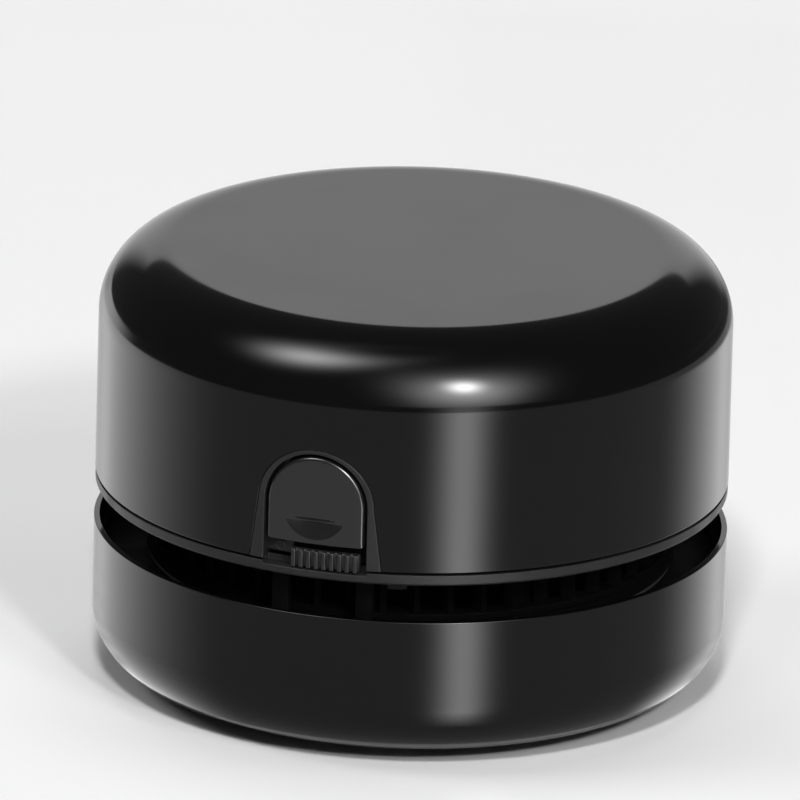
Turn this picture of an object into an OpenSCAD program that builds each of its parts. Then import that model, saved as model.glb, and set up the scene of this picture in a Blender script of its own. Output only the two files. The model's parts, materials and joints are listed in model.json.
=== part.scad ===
// Desktop mini vacuum cleaner: a round table-top crumb sweeper in two halves.
// The lower half is an open dust cup on four glide pads. The upper half holds
// the motor, the fan, two cells and the latch station, and lifts off the cup.
// Frame: origin on the table under the middle, +Z up, latch station towards -Y.
// All sizes are in millimetres.

/* [Casing] */
// Outside diameter of the casing
body_d = 90; // [88:0.5:92]
// Height from the table to the flat top
total_h = 63.5; // [62.5:0.5:66]
// Wall of the gloss mouldings
wall = 1.8; // [1.6:0.1:1.9]
// Radius of the rounded edge round the top
top_fillet = 10; // [8:0.5:11]
// Radius of the rounded edge under the cup
cup_fillet = 8.8; // [7.5:0.1:9.4]
// Gap between the table and the cup
ground_gap = 1.5; // [1.2:0.1:1.7]

/* [Waist] */
// Height of the cup's rim above the table
rim_z = 22.9; // [22.6:0.1:23.2]
// Height of the open waist between the rim and the ring
waist_h = 5.4; // [5.2:0.1:5.8]
// Thickness of the matt ring and of the deck inside it
deck_t = 2.0; // [1.8:0.1:2.2]
// Number of slats in the exhaust grille
slats = 48; // [40:4:52]

/* [Fan] */
// Outside diameter of the impeller
impeller_d = 54; // [50:1:56]
// Number of curved blades
blades = 11; // [7:1:13]
// Thickness of one blade
blade_t = 0.9; // [0.7:0.1:1.2]
// Diameter of the motor's can
motor_d = 23.8; // [20:0.2:24]
// Length of the motor's can
motor_l = 24; // [20:0.5:25]
// Diameter of the motor's shaft
shaft_d = 2.0; // [1.8:0.1:2.2]

/* [Suction] */
// Length of the suction slot
slot_l = 38; // [34:0.5:40]
// Width of the suction slot
slot_w = 7; // [6:0.5:8]
// Tufts in each brush strip
tufts = 24; // [16:1:28]

/* [Latch station] */
// Width of the release button
button_w = 14.3; // [13.6:0.1:14.6]
// Height of the button above its lower edge
button_h = 13; // [12.5:0.1:13.5]
// Play round the button
button_play = 0.45; // [0.3:0.05:0.5]
// Width of the bezel's band over the arch
band_w = 0.95; // [0.8:0.05:1.1]
// How far each leg of the bezel flares out at its foot
leg_flare = 1.5; // [1.2:0.1:1.6]
// Inward travel of the button
button_travel = 1.4; // [1.2:0.1:1.6]
// Width of the ribbed thumb slide
slide_w = 10.3; // [10:0.1:10.6]
// Sideways travel of the thumb slide
slide_travel = 3.6; // [3.2:0.1:3.6]
// Number of grooves between the ribs of the thumb slide
grooves = 8; // [6:1:9]

/* [Cells] */
// Diameter of one cell
cell_d = 14.2; // [13.8:0.1:14.4]
// Length of one cell with its nub
cell_l = 50.3; // [49.5:0.1:50.5]
// Distance of each cell's axis from the middle
cell_x = 22.2; // [21.8:0.1:22.4]

/* [Hidden] */

$fn = 96;
eps = 0.01;      // overlap that joins or cuts cleanly
fit = 0.3;       // air between pieces that lift apart
play = 0.05;     // running clearance of the shaft

// Casing, derived
body_r = body_d / 2;
inner_r = body_r - wall;
ring_z = rim_z + waist_h;            // underside of the matt ring and deck
deck_z = ring_z + deck_t;            // top of the deck, lower edge of the cover
ring_r = body_r - 0.5;               // the ring stands a little inside the cover
seam_h = 0.4;                        // height of the shadow gap over the ring
seam_r = body_r - 1.1;               // the cover rests on the deck inside this radius
ring_bevel = 0.35;
spigot_t = 1.4;
spigot_h = 4.7;
spigot_r = inner_r - fit;

// Dust cup, derived
cup_z = ground_gap;
cup_floor_t = 1.8;
cup_wall_low = 2.6;                  // thicker wall under the ring's seat
cup_seat_z = 17;                     // step that the cup ring sits on
cup_low_r = body_r - cup_wall_low;
cup_high_r = body_r - 1.7;
cup_low_fillet = 6.5;
rim_step_r = body_r - 1.0;
rim_step_h = 0.8;
plate_r = 33;
plate_t = 1.5;
ledge_in_r = 26;
ledge_out_r = 34.5;
ledge_t = 1.4;
base_screw_ring = 29.5;
base_screw_r = 0.8;
cup_ring_t = 1.4;
cup_ring_in_r = 35;
cup_ring_z = cup_seat_z + cup_ring_t; // top of the cup ring, floor of the waist channel

// Suction, derived
throat_t = 1.2;
throat_h = 3.6;
throat_flange = 3;
throat_flange_t = 1.0;
plate_top = cup_z + plate_t;
strip_l = slot_l + 4;
strip_w = 2.0;
strip_y = slot_w / 2 + 2.6;
strip_deep = 1.0;
tuft_r = 0.55;
bristle_gap = 0.1;                   // the bristles end just above the table
pad_r = 3.0;
pad_ring = 27;
pad_sunk = 0.5;

// Fan, derived
seal_t = 0.6;
seal_in_r = 35.2;
seal_out_r = 37.2;
fan_plate_z = cup_ring_z + seal_t;
fan_plate_t = 1.4;
fan_floor = fan_plate_z + fan_plate_t;
fan_plate_r = 37.4;
eye_r = 9.5;
grille_out_r = 37.2;
grille_in_r = 34.6;
grille_rail = 1.1;
slat_t = 1.1;
slat_l = 2.0;                        // the slats stand between the rails' edges
slat_lean = 35;
lug_ring = 32.7;
lug_r = 2.3;
lug_short = 0.1;                     // the lugs end just inside the rails' faces
lug_screw_r = 0.9;
lugs = [45, 135, 225, 315];
impeller_z = fan_floor + 1.0;
impeller_h = ring_z - 1.2 - impeller_z;
impeller_r = impeller_d / 2;
hub_r = 4.2;
shaft_r = shaft_d / 2;
blade_arc_r = impeller_r * 0.48;
blade_arc_off = impeller_r * 0.60;
motor_z = deck_z + 0.7;
motor_r = motor_d / 2;
motor_boss_r = 3.1;
motor_screw_x = 8;
motor_screw_r = 1.0;
motor_top = motor_z + motor_l;
endbell_h = 2.6;

// Filter, derived
filter_r = 28.6;
filter_z = 11.2;
filter_rib = 1.4;

// Latch station, derived
button_z = 33.3;                     // lower edge of the button
button_r = button_w / 2;
arch_z = button_z + button_h - button_r;  // centre of the arches
bezel_in = button_r + button_play;
bezel_out = bezel_in + band_w;
bezel_back = 40.2;                   // the bezel's tube ends here, towards the middle
notch_play = 0.15;
button_face_r = body_r - 0.1;
button_edge = 0.8;
flange_t = 1.0;
flange_w = 16.6;
scoop_r = 5.9;
scoop_out = 3.9;
scoop_z = button_z + 4.9;
slot_low = deck_z + 0.2;
slot_high = deck_z + 1.7;
slide_low = deck_z - 0.55;
slide_high = button_z - 0.35;
slide_x = button_r - 0.1 - slide_w / 2;   // the thumb slide rests at the right-hand end
slide_back_r = body_r - 1.3;
slide_face_r = body_r - 0.05;
panel_out_r = body_r - 1.85;
panel_in_r = body_r - 3.0;
groove_w = 0.55;
groove_d = 0.55;
stem_w = 3.2;
stem_h = 1.2;
stem_z = deck_z + 0.35;
switch_y = -38.4;                    // front face of the switch body
switch_d = 3.4;
switch_w = 8.4;
switch_h = 3.0;
nub_w = 1.5;
leg_in = 5.0;
leg_w = 2.4;
leg_t = 1.2;
leg_y = -40.4;                       // outer face of the hook's legs
nose_z = 15.7;
nose_h = 1.1;
nose_out = 1.1;
yoke_z = button_z + 0.6;
yoke_h = 3.0;
yoke_t = 1.0;
shelf_h = 1.0;                       // step that carries each leg back to the yoke
leg_play = 0.45;
leg_slot_y = leg_y + leg_t + button_travel + 0.4;
spring_z = arch_z + 0.6;
spring_r = 2.3;
spring_wire = 0.28;
spring_turns = 5;
spring_pocket = 2.2;                 // depth of the spring's bore in the button
flange_y = -bezel_back + play;       // front face of the button's flange
bracket_y = -33.6;                   // front face of the spring's bracket
bracket_t = 1.4;
bracket_foot = 4.0;
post_r = 1.6;

// Cells, derived
cell_r = cell_d / 2;
nub_h = 1.2;
cradle_t = 0.9;
cradle_w = cell_d + 2 * cradle_t + 0.4;
cradle_l = cell_l + 2 * 1.0 + 2 * cradle_t;
cradle_h = 9;
cell_z = deck_z + 1.1 + cell_r;
contact_t = 0.35;
contact_w = 9;
contact_face = cradle_l / 2 - cradle_t;  // outer face of each contact plate

// Leads, derived: each route is a list of points that a smooth curve passes
lead_r = 0.6;
lead_sides = 8;
lead_steps = 2;                      // rings from one route point to the next
lead_air = 0.05;                     // what the solder fills
tab_x = 8;
tab_t = 0.5;
tab_face = tab_t / 2 + lead_r + lead_air;
joint_y = contact_face + lead_r + lead_air;
board_x = switch_w / 2 + 1.2;        // half the width of the switch's board
board_t = 0.8;
board_y = switch_y + switch_d + board_t / 2;
red_route = [
    [cell_x, -joint_y, 40.2], [cell_x, -joint_y, 42.5], [21, -25.5, 46.5], [17, -19, 49.5],
    [12.5, -10, 55], [9, -4, 60], [tab_x, -1.5, 59.8], [tab_x, -tab_face, 57.8]
];
switch_route = [
    [board_x + lead_air, board_y, 33.4], [8.6, board_y, 33.4], [10.6, -31.5, 33.2],
    [10.9, -26, 32.2], [9.5, -20.5, 34], [7.5, -16.5, 42], [2, -14.5, 50],
    [-5, -12, 57], [-tab_x, -5, 60.2], [-tab_x, -1.6, 59.8], [-tab_x, -tab_face, 57.8]
];
cell_route = [
    [-board_x - lead_air, board_y, 33.4], [-9, -34.8, 33.6], [-14, -34, 35],
    [-19.5, -31.5, 38], [-21.8, -30, 42.5], [-cell_x, -27.6, 44.2],
    [-cell_x, -joint_y, 42.6], [-cell_x, -joint_y, 40.2]
];
link_half = [
    [-cell_x, joint_y, 40.2], [-cell_x, joint_y, 42.6], [-cell_x, 28, 44.2],
    [-21, 31, 41.5], [-16, 34, 35.5], [-8, 35.5, 32.6]
];
link_route = concat(
    link_half, [[0, 35.8, 32]],
    [for (i = [len(link_half) - 1 : -1 : 0]) [-link_half[i][0], link_half[i][1], link_half[i][2]]]
);

// ---------------------------------------------------------------- profiles

// Half section of a closed dome: straight wall, one round edge, flat end at the top.
module dome_section(r, low, high, fillet) {
    translate([0, low]) square([r, high - fillet - low]);
    translate([0, low]) square([r - fillet, high - low]);
    translate([r - fillet, high - fillet]) circle(r = fillet);
}

// Half section of a closed bowl: the same form with its round edge underneath.
module bowl_section(r, low, high, fillet) {
    translate([0, low + fillet]) square([r, high - fillet - low]);
    translate([0, low]) square([r - fillet, high - low]);
    translate([r - fillet, low + fillet]) circle(r = fillet);
}

// Half section of a plain ring.
module ring_section(r_in, r_out, low, high) {
    translate([r_in, low]) square([r_out - r_in, high - low]);
}

// Arch in the XZ plane, as seen from the front: a half round on two straight legs.
module arch_outline(half_w, foot_z) {
    intersection() {
        translate([0, arch_z]) circle(r = half_w);
        translate([-half_w, arch_z - eps]) square([2 * half_w, half_w + 1]);
    }
    translate([-half_w, foot_z]) square([2 * half_w, arch_z - foot_z]);
}

// The same arch with legs that flare outwards to their feet.
module flared_outline(half_w, foot_z, flare) {
    arch_outline(half_w, foot_z);
    polygon([
        [-half_w, arch_z], [half_w, arch_z],
        [half_w + flare, foot_z], [-half_w - flare, foot_z]
    ]);
}

// Stands a drawing up in the XZ plane and gives it depth from y_front to y_back.
module stand(y_front, y_back) {
    translate([0, y_back, 0]) rotate([90, 0, 0])
        linear_extrude(height = y_back - y_front) children();
}

// Places its children on a circle at each angle of the list.
module at_angles(radius, angles) {
    for (a = angles) rotate(a) translate([radius, 0, 0]) children();
}

// Pan head screw, head downwards, seated at z = 0 and driven up.
module pan_screw(head_r, head_h, shank_r, shank_l) {
    translate([0, 0, -head_h]) difference() {
        cylinder(r = head_r, h = head_h);
        cross_recess(head_r, head_h / 2);
    }
    translate([0, 0, -eps]) cylinder(r = shank_r, h = shank_l + eps);
}

// Cross recess cut into a head's lower face.
module cross_recess(head_r, deep) {
    for (a = [0, 90]) rotate(a)
        translate([-head_r * 0.6, -head_r * 0.13, -eps])
            cube([head_r * 1.2, head_r * 0.26, deep + eps]);
}

// -------------------------------------------------------------- lower half

// Gloss cup: round lower edge, thin rim with a step, seat for the base plate.
module dust_cup() color([0.07, 0.07, 0.075])
    difference() {
        rotate_extrude() {
            difference() {
                bowl_section(body_r, cup_z, rim_z, cup_fillet);
                bowl_section(cup_low_r, cup_z + cup_floor_t, rim_z + 1, cup_low_fillet);
                ring_section(0, cup_high_r, cup_seat_z, rim_z + 1);
                ring_section(0, rim_step_r, rim_z - rim_step_h, rim_z + 1);
                ring_section(0, plate_r + fit, cup_z - 1, plate_top);
                ring_section(0, ledge_in_r, cup_z - 1, rim_z);
            }
            ring_section(ledge_in_r, ledge_out_r, plate_top, plate_top + ledge_t);
        }
        at_angles(base_screw_ring, [0, 90, 180, 270])
            translate([0, 0, cup_z]) cylinder(r = base_screw_r, h = 4);
    }

// Flat ring pressed into the cup: floor of the waist channel, seat of the seal,
// with the two windows that the hook's legs pass.
module cup_ring() color([0.05, 0.05, 0.05])
    difference() {
        rotate_extrude() ring_section(cup_ring_in_r, cup_high_r, cup_seat_z, cup_ring_z);
        leg_windows(leg_y - 0.3, cup_seat_z - 1, cup_ring_z + 1);
    }

// Windows for the two legs, from their outer face to the end of their travel.
module leg_windows(y_front, low, high) {
    for (side = [-1, 1])
        translate([side * (leg_in + leg_w / 2) - leg_w / 2 - leg_play, y_front, low])
            cube([leg_w + 2 * leg_play, leg_slot_y - y_front, high - low]);
}

// Matt plate under the cup, with the suction slot, brush grooves and pad seats.
module base_plate() color([0.10, 0.10, 0.105])
    difference() {
        translate([0, 0, cup_z]) cylinder(r = plate_r, h = plate_t);
        slot_hole(0, cup_z - 1, plate_top + 1);
        for (side = [-1, 1])
            translate([-strip_l / 2, side * strip_y - strip_w / 2, cup_z - eps])
                cube([strip_l, strip_w, strip_deep + eps]);
        at_angles(pad_ring, lugs)
            translate([0, 0, cup_z - eps]) cylinder(r = pad_r, h = pad_sunk + eps);
        at_angles(base_screw_ring, [0, 90, 180, 270])
            translate([0, 0, cup_z - eps]) {
                cylinder(r = base_screw_r, h = plate_t + 1);
                cylinder(r = 1.9, h = 0.9 + eps);
            }
    }

// Suction slot with round ends, grown by margin.
module slot_hole(margin, low, high) {
    r = slot_w / 2 + margin;
    reach = slot_l / 2 - slot_w / 2;
    translate([0, 0, low]) linear_extrude(height = high - low) {
        for (side = [-1, 1]) translate([side * reach, 0]) circle(r = r);
        translate([-reach, -r]) square([2 * reach, 2 * r]);
    }
}

// Chimney over the slot that keeps the dust in the cup.
module inlet_throat() color([0.12, 0.12, 0.125])
    difference() {
        union() {
            slot_hole(throat_t, plate_top, plate_top + throat_h);
            slot_hole(throat_flange, plate_top, plate_top + throat_flange_t);
        }
        slot_hole(0, plate_top - 1, plate_top + throat_h + 1);
    }

// Two brush strips beside the slot: a backing and its tufts.
module brush_strips() color([0.16, 0.16, 0.17])
    for (side = [-1, 1]) translate([0, side * strip_y, 0]) {
        translate([-strip_l / 2 + 0.1, -strip_w / 2 + 0.1, cup_z])
            cube([strip_l - 0.2, strip_w - 0.2, strip_deep]);
        for (i = [0 : tufts - 1])
            translate([(i - (tufts - 1) / 2) * (strip_l - 2) / tufts, 0, bristle_gap])
                cylinder(r = tuft_r, h = cup_z - bristle_gap + eps);
    }

// Four low pads that the cleaner glides on.
module glide_pads() color([0.20, 0.20, 0.20])
    at_angles(pad_ring, lugs) rotate_extrude() {
        ring_section(0, pad_r - 0.5, 0, cup_z);
        ring_section(0, pad_r - 0.05, 0.5, cup_z + pad_sunk);
        translate([pad_r - 0.55, 0.5]) circle(r = 0.5);
    }

// Four screws that hold the base plate to the cup's ledge.
module base_screws() color([0.45, 0.45, 0.46])
    at_angles(base_screw_ring, [0, 90, 180, 270])
        translate([0, 0, cup_z + 0.9]) pan_screw(1.8, 0.8, base_screw_r, 1.8);

// -------------------------------------------------------------- upper half

// Deck with the matt ring round it, the spigot for the cover and the motor's socket.
module chassis() color([0.22, 0.22, 0.225])
    difference() {
        union() {
            rotate_extrude() {
                ring_section(0, seam_r, ring_z, deck_z);
                ring_section(0, ring_r - ring_bevel, ring_z, deck_z - seam_h);
                ring_section(0, ring_r, ring_z + ring_bevel, deck_z - seam_h);
                ring_section(spigot_r - spigot_t, spigot_r, deck_z - eps, deck_z + spigot_h);
                polygon([
                    [ring_r - ring_bevel, ring_z], [ring_r, ring_z + ring_bevel],
                    [ring_r - ring_bevel, ring_z + ring_bevel]
                ]);
            }
            translate([0, 0, deck_z - eps]) cylinder(r = motor_r + 1.6, h = 7);
        }
        translate([0, 0, deck_z + 0.7]) cylinder(r = motor_r + 0.05, h = 10);
        translate([0, 0, ring_z - 1]) cylinder(r = motor_boss_r + 0.1, h = 6);
        for (side = [-1, 1]) translate([side * motor_screw_x, 0, ring_z - eps]) {
            cylinder(r = motor_screw_r + 0.1, h = 6);
            cylinder(r1 = 2.0, r2 = motor_screw_r + 0.1, h = 0.9);
        }
        at_angles(lug_ring, lugs)
            translate([0, 0, ring_z - 1]) cylinder(r = lug_screw_r, h = deck_t + 2);
        for (side = [-1, 1])
            translate([side * 6.4, bracket_y + bracket_t + bracket_foot / 2, ring_z - 1])
                cylinder(r = 0.8, h = deck_t + 2);
        // the latch station: spigot cut away, ring lowered, windows for the legs
        stand(-body_r - 1, -36) flared_outline(bezel_out + notch_play, deck_z, leg_flare);
        translate([-bezel_in, -body_r - 1, deck_z - 0.8])
            cube([2 * bezel_in, body_r - panel_in_r + 1, 2]);
        leg_windows(leg_y - 0.6, ring_z - 1, deck_z + 1);
    }

// Ring of leaning slats between the deck and the fan plate: the air leaves here.
module exhaust_grille() color([0.06, 0.06, 0.06])
    difference() {
        union() {
            for (i = [0 : slats - 1]) rotate((i + 0.5) * 360 / slats)
                translate([(grille_in_r + grille_out_r) / 2, 0, (fan_floor + ring_z) / 2])
                    rotate(slat_lean)
                        cube([slat_l, slat_t, ring_z - fan_floor - grille_rail], center = true);
            rotate_extrude() {
                ring_section(grille_in_r, grille_out_r, fan_floor, fan_floor + grille_rail);
                ring_section(grille_in_r, grille_out_r, ring_z - grille_rail, ring_z);
            }
            at_angles(lug_ring, lugs)
                translate([0, 0, fan_floor + lug_short])
                    cylinder(r = lug_r, h = ring_z - fan_floor - 2 * lug_short);
        }
        at_angles(lug_ring, lugs)
            translate([0, 0, fan_floor - 1]) cylinder(r = lug_screw_r, h = 20);
    }

// Plate under the fan with its suction eye and a raised lip round it.
module fan_plate() color([0.10, 0.10, 0.10])
    difference() {
        rotate_extrude() {
            ring_section(eye_r, fan_plate_r, fan_plate_z, fan_floor);
            ring_section(filter_r + 0.2, filter_r + 1.4, fan_plate_z - 1.2, fan_plate_z + eps);
        }
        at_angles(lug_ring, lugs)
            translate([0, 0, fan_plate_z - 2]) cylinder(r = lug_screw_r + 0.1, h = 6);
    }

// Four screws up through the fan plate and the grille's lugs into the deck.
module fan_plate_screws() color([0.55, 0.55, 0.56])
    at_angles(lug_ring, lugs)
        translate([0, 0, fan_plate_z]) pan_screw(1.8, 1.2, lug_screw_r, deck_z - fan_plate_z - 0.3);

// Soft ring that closes the fan plate on the cup ring.
module seal_ring() color([0.30, 0.30, 0.30])
    rotate_extrude() ring_section(seal_in_r, seal_out_r, cup_ring_z, fan_plate_z);

// Cage that carries the filter: rim, posts, foot ring and a cross.
module filter_frame() color([0.30, 0.30, 0.31])
    difference() {
        rotate_extrude()
            ring_section(0, filter_r, filter_z, fan_plate_z);
        rotate_extrude()
            ring_section(0, filter_r - filter_rib, filter_z + filter_rib, fan_plate_z + 1);
        for (i = [0 : 11]) rotate(i * 30 + 15)
            translate([filter_r - 4, -5.6, filter_z + filter_rib])
                cube([8, 11.2, fan_plate_z - filter_z - 2 * filter_rib]);
        for (i = [0 : 5]) rotate(i * 60)
            linear_extrude(height = 3 * filter_z) intersection() {
                difference() { circle(r = filter_r - 2 * filter_rib); circle(r = 5); }
                polygon([[1.8, 0], [40, 22.1], [40, -22.1]]);
            }
    }

// Pleated cloth cup inside the cage, open towards the fan.
module filter_cloth() color([0.86, 0.86, 0.84])
    difference() {
        translate([0, 0, filter_z + filter_rib])
            cylinder(r = filter_r - filter_rib - 0.1, h = fan_plate_z - filter_z - filter_rib - 0.1);
        translate([0, 0, filter_z + filter_rib + 1.2])
            cylinder(r = filter_r - filter_rib - 1.3, h = 12);
    }

// Round motor can, standing on its nose, with the shaft's bearing boss below.
module motor_can() color([0.72, 0.72, 0.74])
    difference() {
        rotate_extrude() {
            bowl_section(motor_r, motor_z, motor_top, 1.2);
            ring_section(0, motor_boss_r, ring_z + 0.2, motor_z + 1);
        }
        translate([0, 0, ring_z - 1]) cylinder(r = shaft_r + play, h = 7);
        for (side = [-1, 1]) translate([side * motor_screw_x, 0, motor_z - 1])
            cylinder(r = motor_screw_r, h = 4);
    }

// Plastic end of the motor with its two terminal tabs.
module motor_endbell() color([0.92, 0.92, 0.90]) {
    rotate_extrude() {
        dome_section(motor_r - 0.9, motor_top, motor_top + 1.6, 0.6);
        dome_section(3.4, motor_top, motor_top + endbell_h, 0.5);
    }
    for (side = [-1, 1])
        translate([side * tab_x - 1.1, -tab_t / 2, motor_top + 1.5]) cube([2.2, tab_t, 2.6]);
}

// Two countersunk screws from under the deck into the motor's face.
module motor_screws() color([0.60, 0.60, 0.61])
    for (side = [-1, 1]) translate([side * motor_screw_x, 0, ring_z])
        difference() {
            union() {
                cylinder(r1 = 1.9, r2 = motor_screw_r, h = 0.85);
                cylinder(r = motor_screw_r, h = motor_z - ring_z + 2.6);
            }
            cross_recess(1.8, 0.5);
        }

// Two open cradles on the deck, one for each cell.
module cell_cradles() color([0.14, 0.14, 0.145])
    for (side = [-1, 1]) translate([side * cell_x, 0, 0])
        difference() {
            translate([-cradle_w / 2, -cradle_l / 2, deck_z])
                cube([cradle_w, cradle_l, cradle_h]);
            translate([0, cradle_l / 2 - cradle_t, cell_z]) rotate([90, 0, 0])
                cylinder(r = cell_r + 0.2, h = cradle_l - 2 * cradle_t);
            translate([-cell_r - 0.2, -cradle_l / 2 + cradle_t, cell_z])
                cube([cell_d + 0.4, cradle_l - 2 * cradle_t, cell_d]);
            translate([-cell_r - 5, -9, deck_z + 5]) cube([cell_d + 10, 18, cell_d]);
        }

// One cell along Y; toward gives the way its nub points.
module cell(x, toward) translate([x, 0, cell_z]) rotate([-90 * toward, 0, 0])
    rotate_extrude() {
        body = cell_l - nub_h;
        translate([0, -cell_l / 2]) square([cell_r - 0.6, body]);
        translate([0, -cell_l / 2 + 0.6]) square([cell_r, body - 1.2]);
        for (z = [-cell_l / 2 + 0.6, -cell_l / 2 + body - 0.6])
            translate([cell_r - 0.6, z]) circle(r = 0.6);
        translate([0, -cell_l / 2]) square([2.75, cell_l]);
    }

// Cell on the left of the motor, nub to the back.
module cell_left() color([0.20, 0.32, 0.40]) cell(-cell_x, 1);

// Cell on the right of the motor, nub to the front.
module cell_right() color([0.20, 0.32, 0.40]) cell(cell_x, -1);

// Leaf contacts at both ends of each cell: a plate and a bowed tongue.
module cell_contacts() color([0.80, 0.80, 0.78])
    for (side = [-1, 1], end = [-1, 1])
        translate([side * cell_x, end * contact_face, cell_z])
            scale([1, end, 1]) {
                translate([-contact_w / 2, -contact_t, -5]) cube([contact_w, contact_t, 9]);
                translate([-2, -contact_t + eps, 0]) rotate([0, 90, 0])
                    intersection() {
                        cylinder(r = 4, h = 4);
                        translate([-4, -0.55, -1]) cube([8, 0.56, 6]);
                    }
            }

// Point of the smooth curve between b and c, with a and d as its neighbours.
function between(a, b, c, d, t) = 0.5 * (
    2 * b + (c - a) * t + (2 * a - 5 * b + 4 * c - d) * t * t
    + (3 * b - a - 3 * c + d) * t * t * t
);

// Centre line of a lead: the route with lead_steps points to each of its spans.
function centre_line(route) = let (last = len(route) - 1) [
    for (i = [0 : last - 1], k = [0 : lead_steps - 1])
        between(route[max(i - 1, 0)], route[i], route[i + 1], route[min(i + 2, last)],
                k / lead_steps),
    route[last]
];

// Direction of the centre line at point i.
function along(line, i) = let (
    step = line[min(i + 1, len(line) - 1)] - line[max(i - 1, 0)]
) step / norm(step);

// What is left of v square to the direction t, at length 1.
function square_to(v, t) = let (w = v - (v * t) * t) w / norm(w);

// Sideways direction at each point, carried along so that the tube doesn't twist.
function sideways(line) = [
    for (i = 0, u = square_to([0.3, 1, 0.2], along(line, 0)); i < len(line);
         i = i + 1, u = square_to(u, along(line, i))) u
];

// One insulated lead along its route.
module lead(route) {
    line = centre_line(route);
    sides = sideways(line);
    points = [for (i = [0 : len(line) - 1], k = [0 : lead_sides - 1]) let (
        turn = 360 * k / lead_sides
    ) line[i] + lead_r * (cos(turn) * sides[i] + sin(turn) * cross(along(line, i), sides[i]))];
    skin = [for (i = [0 : len(line) - 2], k = [0 : lead_sides - 1]) let (
        a = lead_sides * i + k,
        b = lead_sides * i + (k + 1) % lead_sides
    ) each [[a, b + lead_sides, b], [a, a + lead_sides, b + lead_sides]]];
    tail = lead_sides * (len(line) - 1);
    caps = [for (k = [1 : lead_sides - 2]) each [[0, k, k + 1], [tail, tail + k + 1, tail + k]]];
    polyhedron(points = points, faces = concat(skin, caps));
}

// Red lead from the right cell's front contact to the motor.
module lead_red() color([0.62, 0.07, 0.05]) lead(red_route);

// Black leads: switch to motor, left cell to switch, and the link behind the motor.
module leads_black() color([0.05, 0.05, 0.05])
    for (route = [switch_route, cell_route, link_route]) lead(route);

// ----------------------------------------------------------- latch station

// Matt arch round the button: flared band flush with the cover, guide tube
// behind it, and the small panel with the slot of the thumb slide.
module latch_bezel() color([0.24, 0.24, 0.245])
    difference() {
        union() {
            intersection() {
                stand(-body_r, -36) flared_outline(bezel_out, deck_z, leg_flare);
                rotate_extrude() ring_section(inner_r + 0.1, body_r - 0.03, deck_z, 60);
            }
            intersection() {
                stand(-body_r, -bezel_back) arch_outline(bezel_out, deck_z);
                cylinder(r = inner_r + 0.2, h = 60);
            }
        }
        stand(-body_r - 1, -30) arch_outline(bezel_in, button_z - 0.3);
        // the panel under the button: front recess, slot, room for the switch and the legs
        difference() {
            translate([-bezel_in, -body_r - 1, deck_z - 1])
                cube([2 * bezel_in, 16, button_z - deck_z + 1]);
            intersection() {
                rotate_extrude() ring_section(panel_in_r, panel_out_r, deck_z, button_z - 0.3);
                translate([-bezel_in, -body_r, deck_z])
                    cube([2 * bezel_in, 6, button_z - 0.3 - deck_z]);
            }
        }
        translate([-bezel_in + 0.4, -body_r - 1, slot_low])
            cube([bezel_in + slide_travel / 2 + stem_w / 2 - 0.1, 8, slot_high - slot_low]);
    }

// Upright bracket behind the button that the spring pushes against.
module latch_bracket() color([0.18, 0.18, 0.18])
    difference() {
        union() {
            translate([-7.6, bracket_y, deck_z]) cube([15.2, bracket_t, spring_z + 4 - deck_z]);
            translate([-9, bracket_y, deck_z]) cube([18, bracket_t + bracket_foot, 1.2]);
            for (side = [-1, 1])
                translate([side * 2.6 - 0.5, bracket_y + bracket_t - eps, deck_z])
                    bracket_gusset();
            translate([0, bracket_y + eps, spring_z]) rotate([90, 0, 0])
                cylinder(r = post_r, h = 1.5);
        }
        for (side = [-1, 1])
            translate([side * 6.4, bracket_y + bracket_t + bracket_foot / 2, deck_z - 1])
                cylinder(r = 0.8, h = 4);
    }

// Triangular rib between the bracket's upright and its foot.
module bracket_gusset() rotate([90, 0, 90]) linear_extrude(height = 1)
    polygon([[0, 0.5], [bracket_foot, 0.5], [bracket_foot, 1.2], [0, 9]]);

// Two screws that hold the bracket to the deck.
module bracket_screws() color([0.60, 0.60, 0.61])
    for (side = [-1, 1])
        translate([side * 6.4, bracket_y + bracket_t + bracket_foot / 2, deck_z + 1.2])
            rotate([180, 0, 0]) pan_screw(1.5, 0.9, 0.8, 1.2 + deck_t - 0.2);

// Points of one ring of the spring's wire, t from 0 to 1 along the coil.
function spring_ring(t, y_0, y_1) = let (
    a = 360 * spring_turns * t,
    y = y_0 + (y_1 - y_0) * t
) [for (k = [0 : 5]) let (c = 60 * k) [
    (spring_r + spring_wire * cos(c)) * cos(a),
    y + spring_wire * sin(c),
    spring_z + (spring_r + spring_wire * cos(c)) * sin(a)
]];

// Compression spring between the button's flange and the bracket.
module button_spring() color([0.82, 0.82, 0.84]) {
    y_0 = flange_y + flange_t - spring_pocket + spring_wire + 0.02;
    y_1 = bracket_y - spring_wire - 0.02;
    rings = 12 * spring_turns;
    points = [for (i = [0 : rings]) each spring_ring(i / rings, y_0, y_1)];
    sides = [for (i = [0 : rings - 1], k = [0 : 5]) let (
        a = 6 * i + k,
        b = 6 * i + (k + 1) % 6
    ) each [[a, b, b + 6], [a, b + 6, a + 6]]];
    first = [for (k = [1 : 4]) [0, k + 1, k]];
    last = [for (k = [1 : 4]) [6 * rings, 6 * rings + k, 6 * rings + k + 1]];
    polyhedron(points = points, faces = concat(sides, first, last));
}

// Small electrical slide switch on the deck, its slot towards the front.
module slide_switch() color([0.75, 0.75, 0.76])
    difference() {
        translate([-switch_w / 2, switch_y, deck_z]) cube([switch_w, switch_d, switch_h]);
        translate([-slide_travel / 2 - nub_w / 2 - 0.1, switch_y - 1, stem_z])
            cube([slide_travel + nub_w + 0.2, 2.2, stem_h]);
    }

// Board that the switch is soldered to.
module switch_board() color([0.13, 0.30, 0.20])
    translate([-board_x, switch_y + switch_d, deck_z])
        cube([2 * board_x, board_t, switch_h + 2.5]);

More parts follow.
